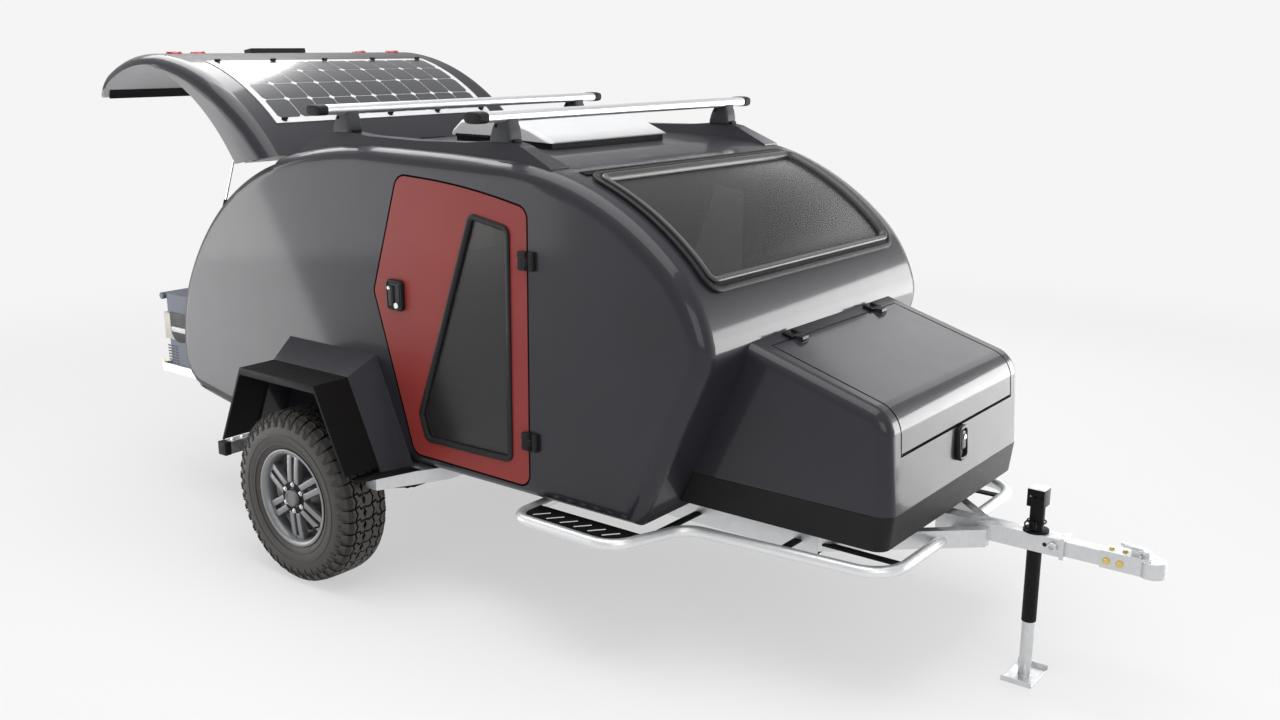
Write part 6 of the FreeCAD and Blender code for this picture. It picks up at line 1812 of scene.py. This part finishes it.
# %% Floor
FLOOR_HALF = 60.0
NEAR_GLOW = 0.56             # how much of the floor glows right under the trailer
PALE = 0.91                  # the backdrop's own shade
GLOW_FROM, GLOW_TO = 2.5, 8.0
WORLD_ON_SURFACES = 0.55
corners = [(u * FLOOR_HALF, v * FLOOR_HALF, 0) for u, v in ((-1, -1), (1, -1), (1, 1), (-1, 1))]
floor = linked("studio_floor", as_mesh(corners, [(0, 1, 2, 3)]))

paper = Finish("studio_paper", None, (0.86, 0.86, 0.86), 0.9, Specular_IOR_Level=0.1)
distance = paper.node("ShaderNodeVectorMath", {"operation": "LENGTH"}, paper.place, out=1)
smooth = {"interpolation_type": "SMOOTHSTEP"}
far_away = paper.node("ShaderNodeMapRange", smooth, distance, GLOW_FROM, GLOW_TO, NEAR_GLOW, 1.0)
glow = paper.node("ShaderNodeEmission", None, (PALE, PALE, PALE), 1.0)
mixed = paper.node("ShaderNodeMixShader", None, far_away, Value(paper, paper.shader.outputs[0]), glow)
paper.tree.links.new(mixed.socket, paper.tree.nodes["Material Output"].inputs["Surface"])
wear(paper, floor)

# %% [markdown]
# Soft light comes from four wide lamps: one overhead, two on the right and
# one on the left. Four cards show only in the gloss of the paint. The world
# gives the rest, and is dimmer to the surfaces than to the camera, so that
# shapes keep their shading.

# %% World
world = bpy.data.worlds.new("studio")
bpy.context.scene.world = world
world.use_nodes = True
nodes = world.node_tree.nodes
links = world.node_tree.links
seen = nodes["Background"]
seen.inputs["Color"].default_value = (PALE, PALE, PALE, 1)
light = nodes.new("ShaderNodeBackground")
light.inputs["Color"].default_value = (1, 1, 1, 1)
light.inputs["Strength"].default_value = WORLD_ON_SURFACES
path = nodes.new("ShaderNodeLightPath")
either = nodes.new("ShaderNodeMath")
either.operation = "MAXIMUM"
links.new(path.outputs["Is Camera Ray"], either.inputs[0])
links.new(path.outputs["Is Transmission Ray"], either.inputs[1])
choose = nodes.new("ShaderNodeMixShader")
links.new(either.outputs[0], choose.inputs[0])
links.new(light.outputs[0], choose.inputs[1])
links.new(seen.outputs[0], choose.inputs[2])
links.new(choose.outputs[0], nodes["World Output"].inputs["Surface"])


# %% Lamps
def lamp(name, place, turn, size, power, matt):
    """An area lamp; a card, which isn't matt, shows only in gloss."""
    data = bpy.data.lights.new(name, "AREA")
    data.shape = "RECTANGLE"
    data.size, data.size_y = size
    data.energy = power
    obj = linked(name, data)
    obj.location = place
    obj.rotation_euler = turn.to_euler()
    obj.visible_camera = False
    obj.visible_diffuse = matt


# name, place from the axle, aims at, size, power, lights matt surfaces too
LAMPS = [
    ("overhead", (0.8, -0.6, 5.2), (0.8, 0.0, 0.0), (6.0, 4.0), 230.0, True),
    ("front_right", (6.0, -3.5, 3.2), (1.2, 0.0, 0.9), (3.0, 2.5), 60.0, True),
    ("rear_right", (-4.2, -4.6, 1.6), (-0.6, -0.8, 1.0), (3.2, 2.4), 45.0, True),
    ("left", (1.0, 5.5, 3.0), (0.3, 0.0, 1.0), (4.0, 2.5), 60.0, True),
    ("front_left_card", (5.6, 5.8, 1.1), (2.2, 0.0, 0.9), (4.4, 3.0), 460.0, False),
    ("rear_high", (-3.0, 0.4, 4.9), (0.6, -0.7, 1.7), (3.0, 3.0), 190.0, False),
    ("floor_card", (4.4, 3.9, 0.02), (4.4, 3.9, 5.0), (4.0, 5.0), 220.0, False),
]
for name, place, aim, size, power, matt in LAMPS:
    place = from_axle(*place)
    lamp(name, place, (from_axle(*aim) - place).to_track_quat("-Z", "Y"), size, power, matt)

# %% [markdown]
# The fourth card stands beside the trailer's rear. It splits the side wall
# into a paler rear and a darker front, with a slanting edge between them.

# %% Reflection card
CARD_TURN = Matrix.Rotation(math.radians(-32.1), 4, "Y") @ Matrix.Rotation(math.radians(90), 4, "X")
lamp("side_card", from_axle(-3.17, -2.0, 0.2), CARD_TURN, (3.0, 5.0), 210.0, False)
bpy.context.scene.view_settings.view_transform = "Standard"
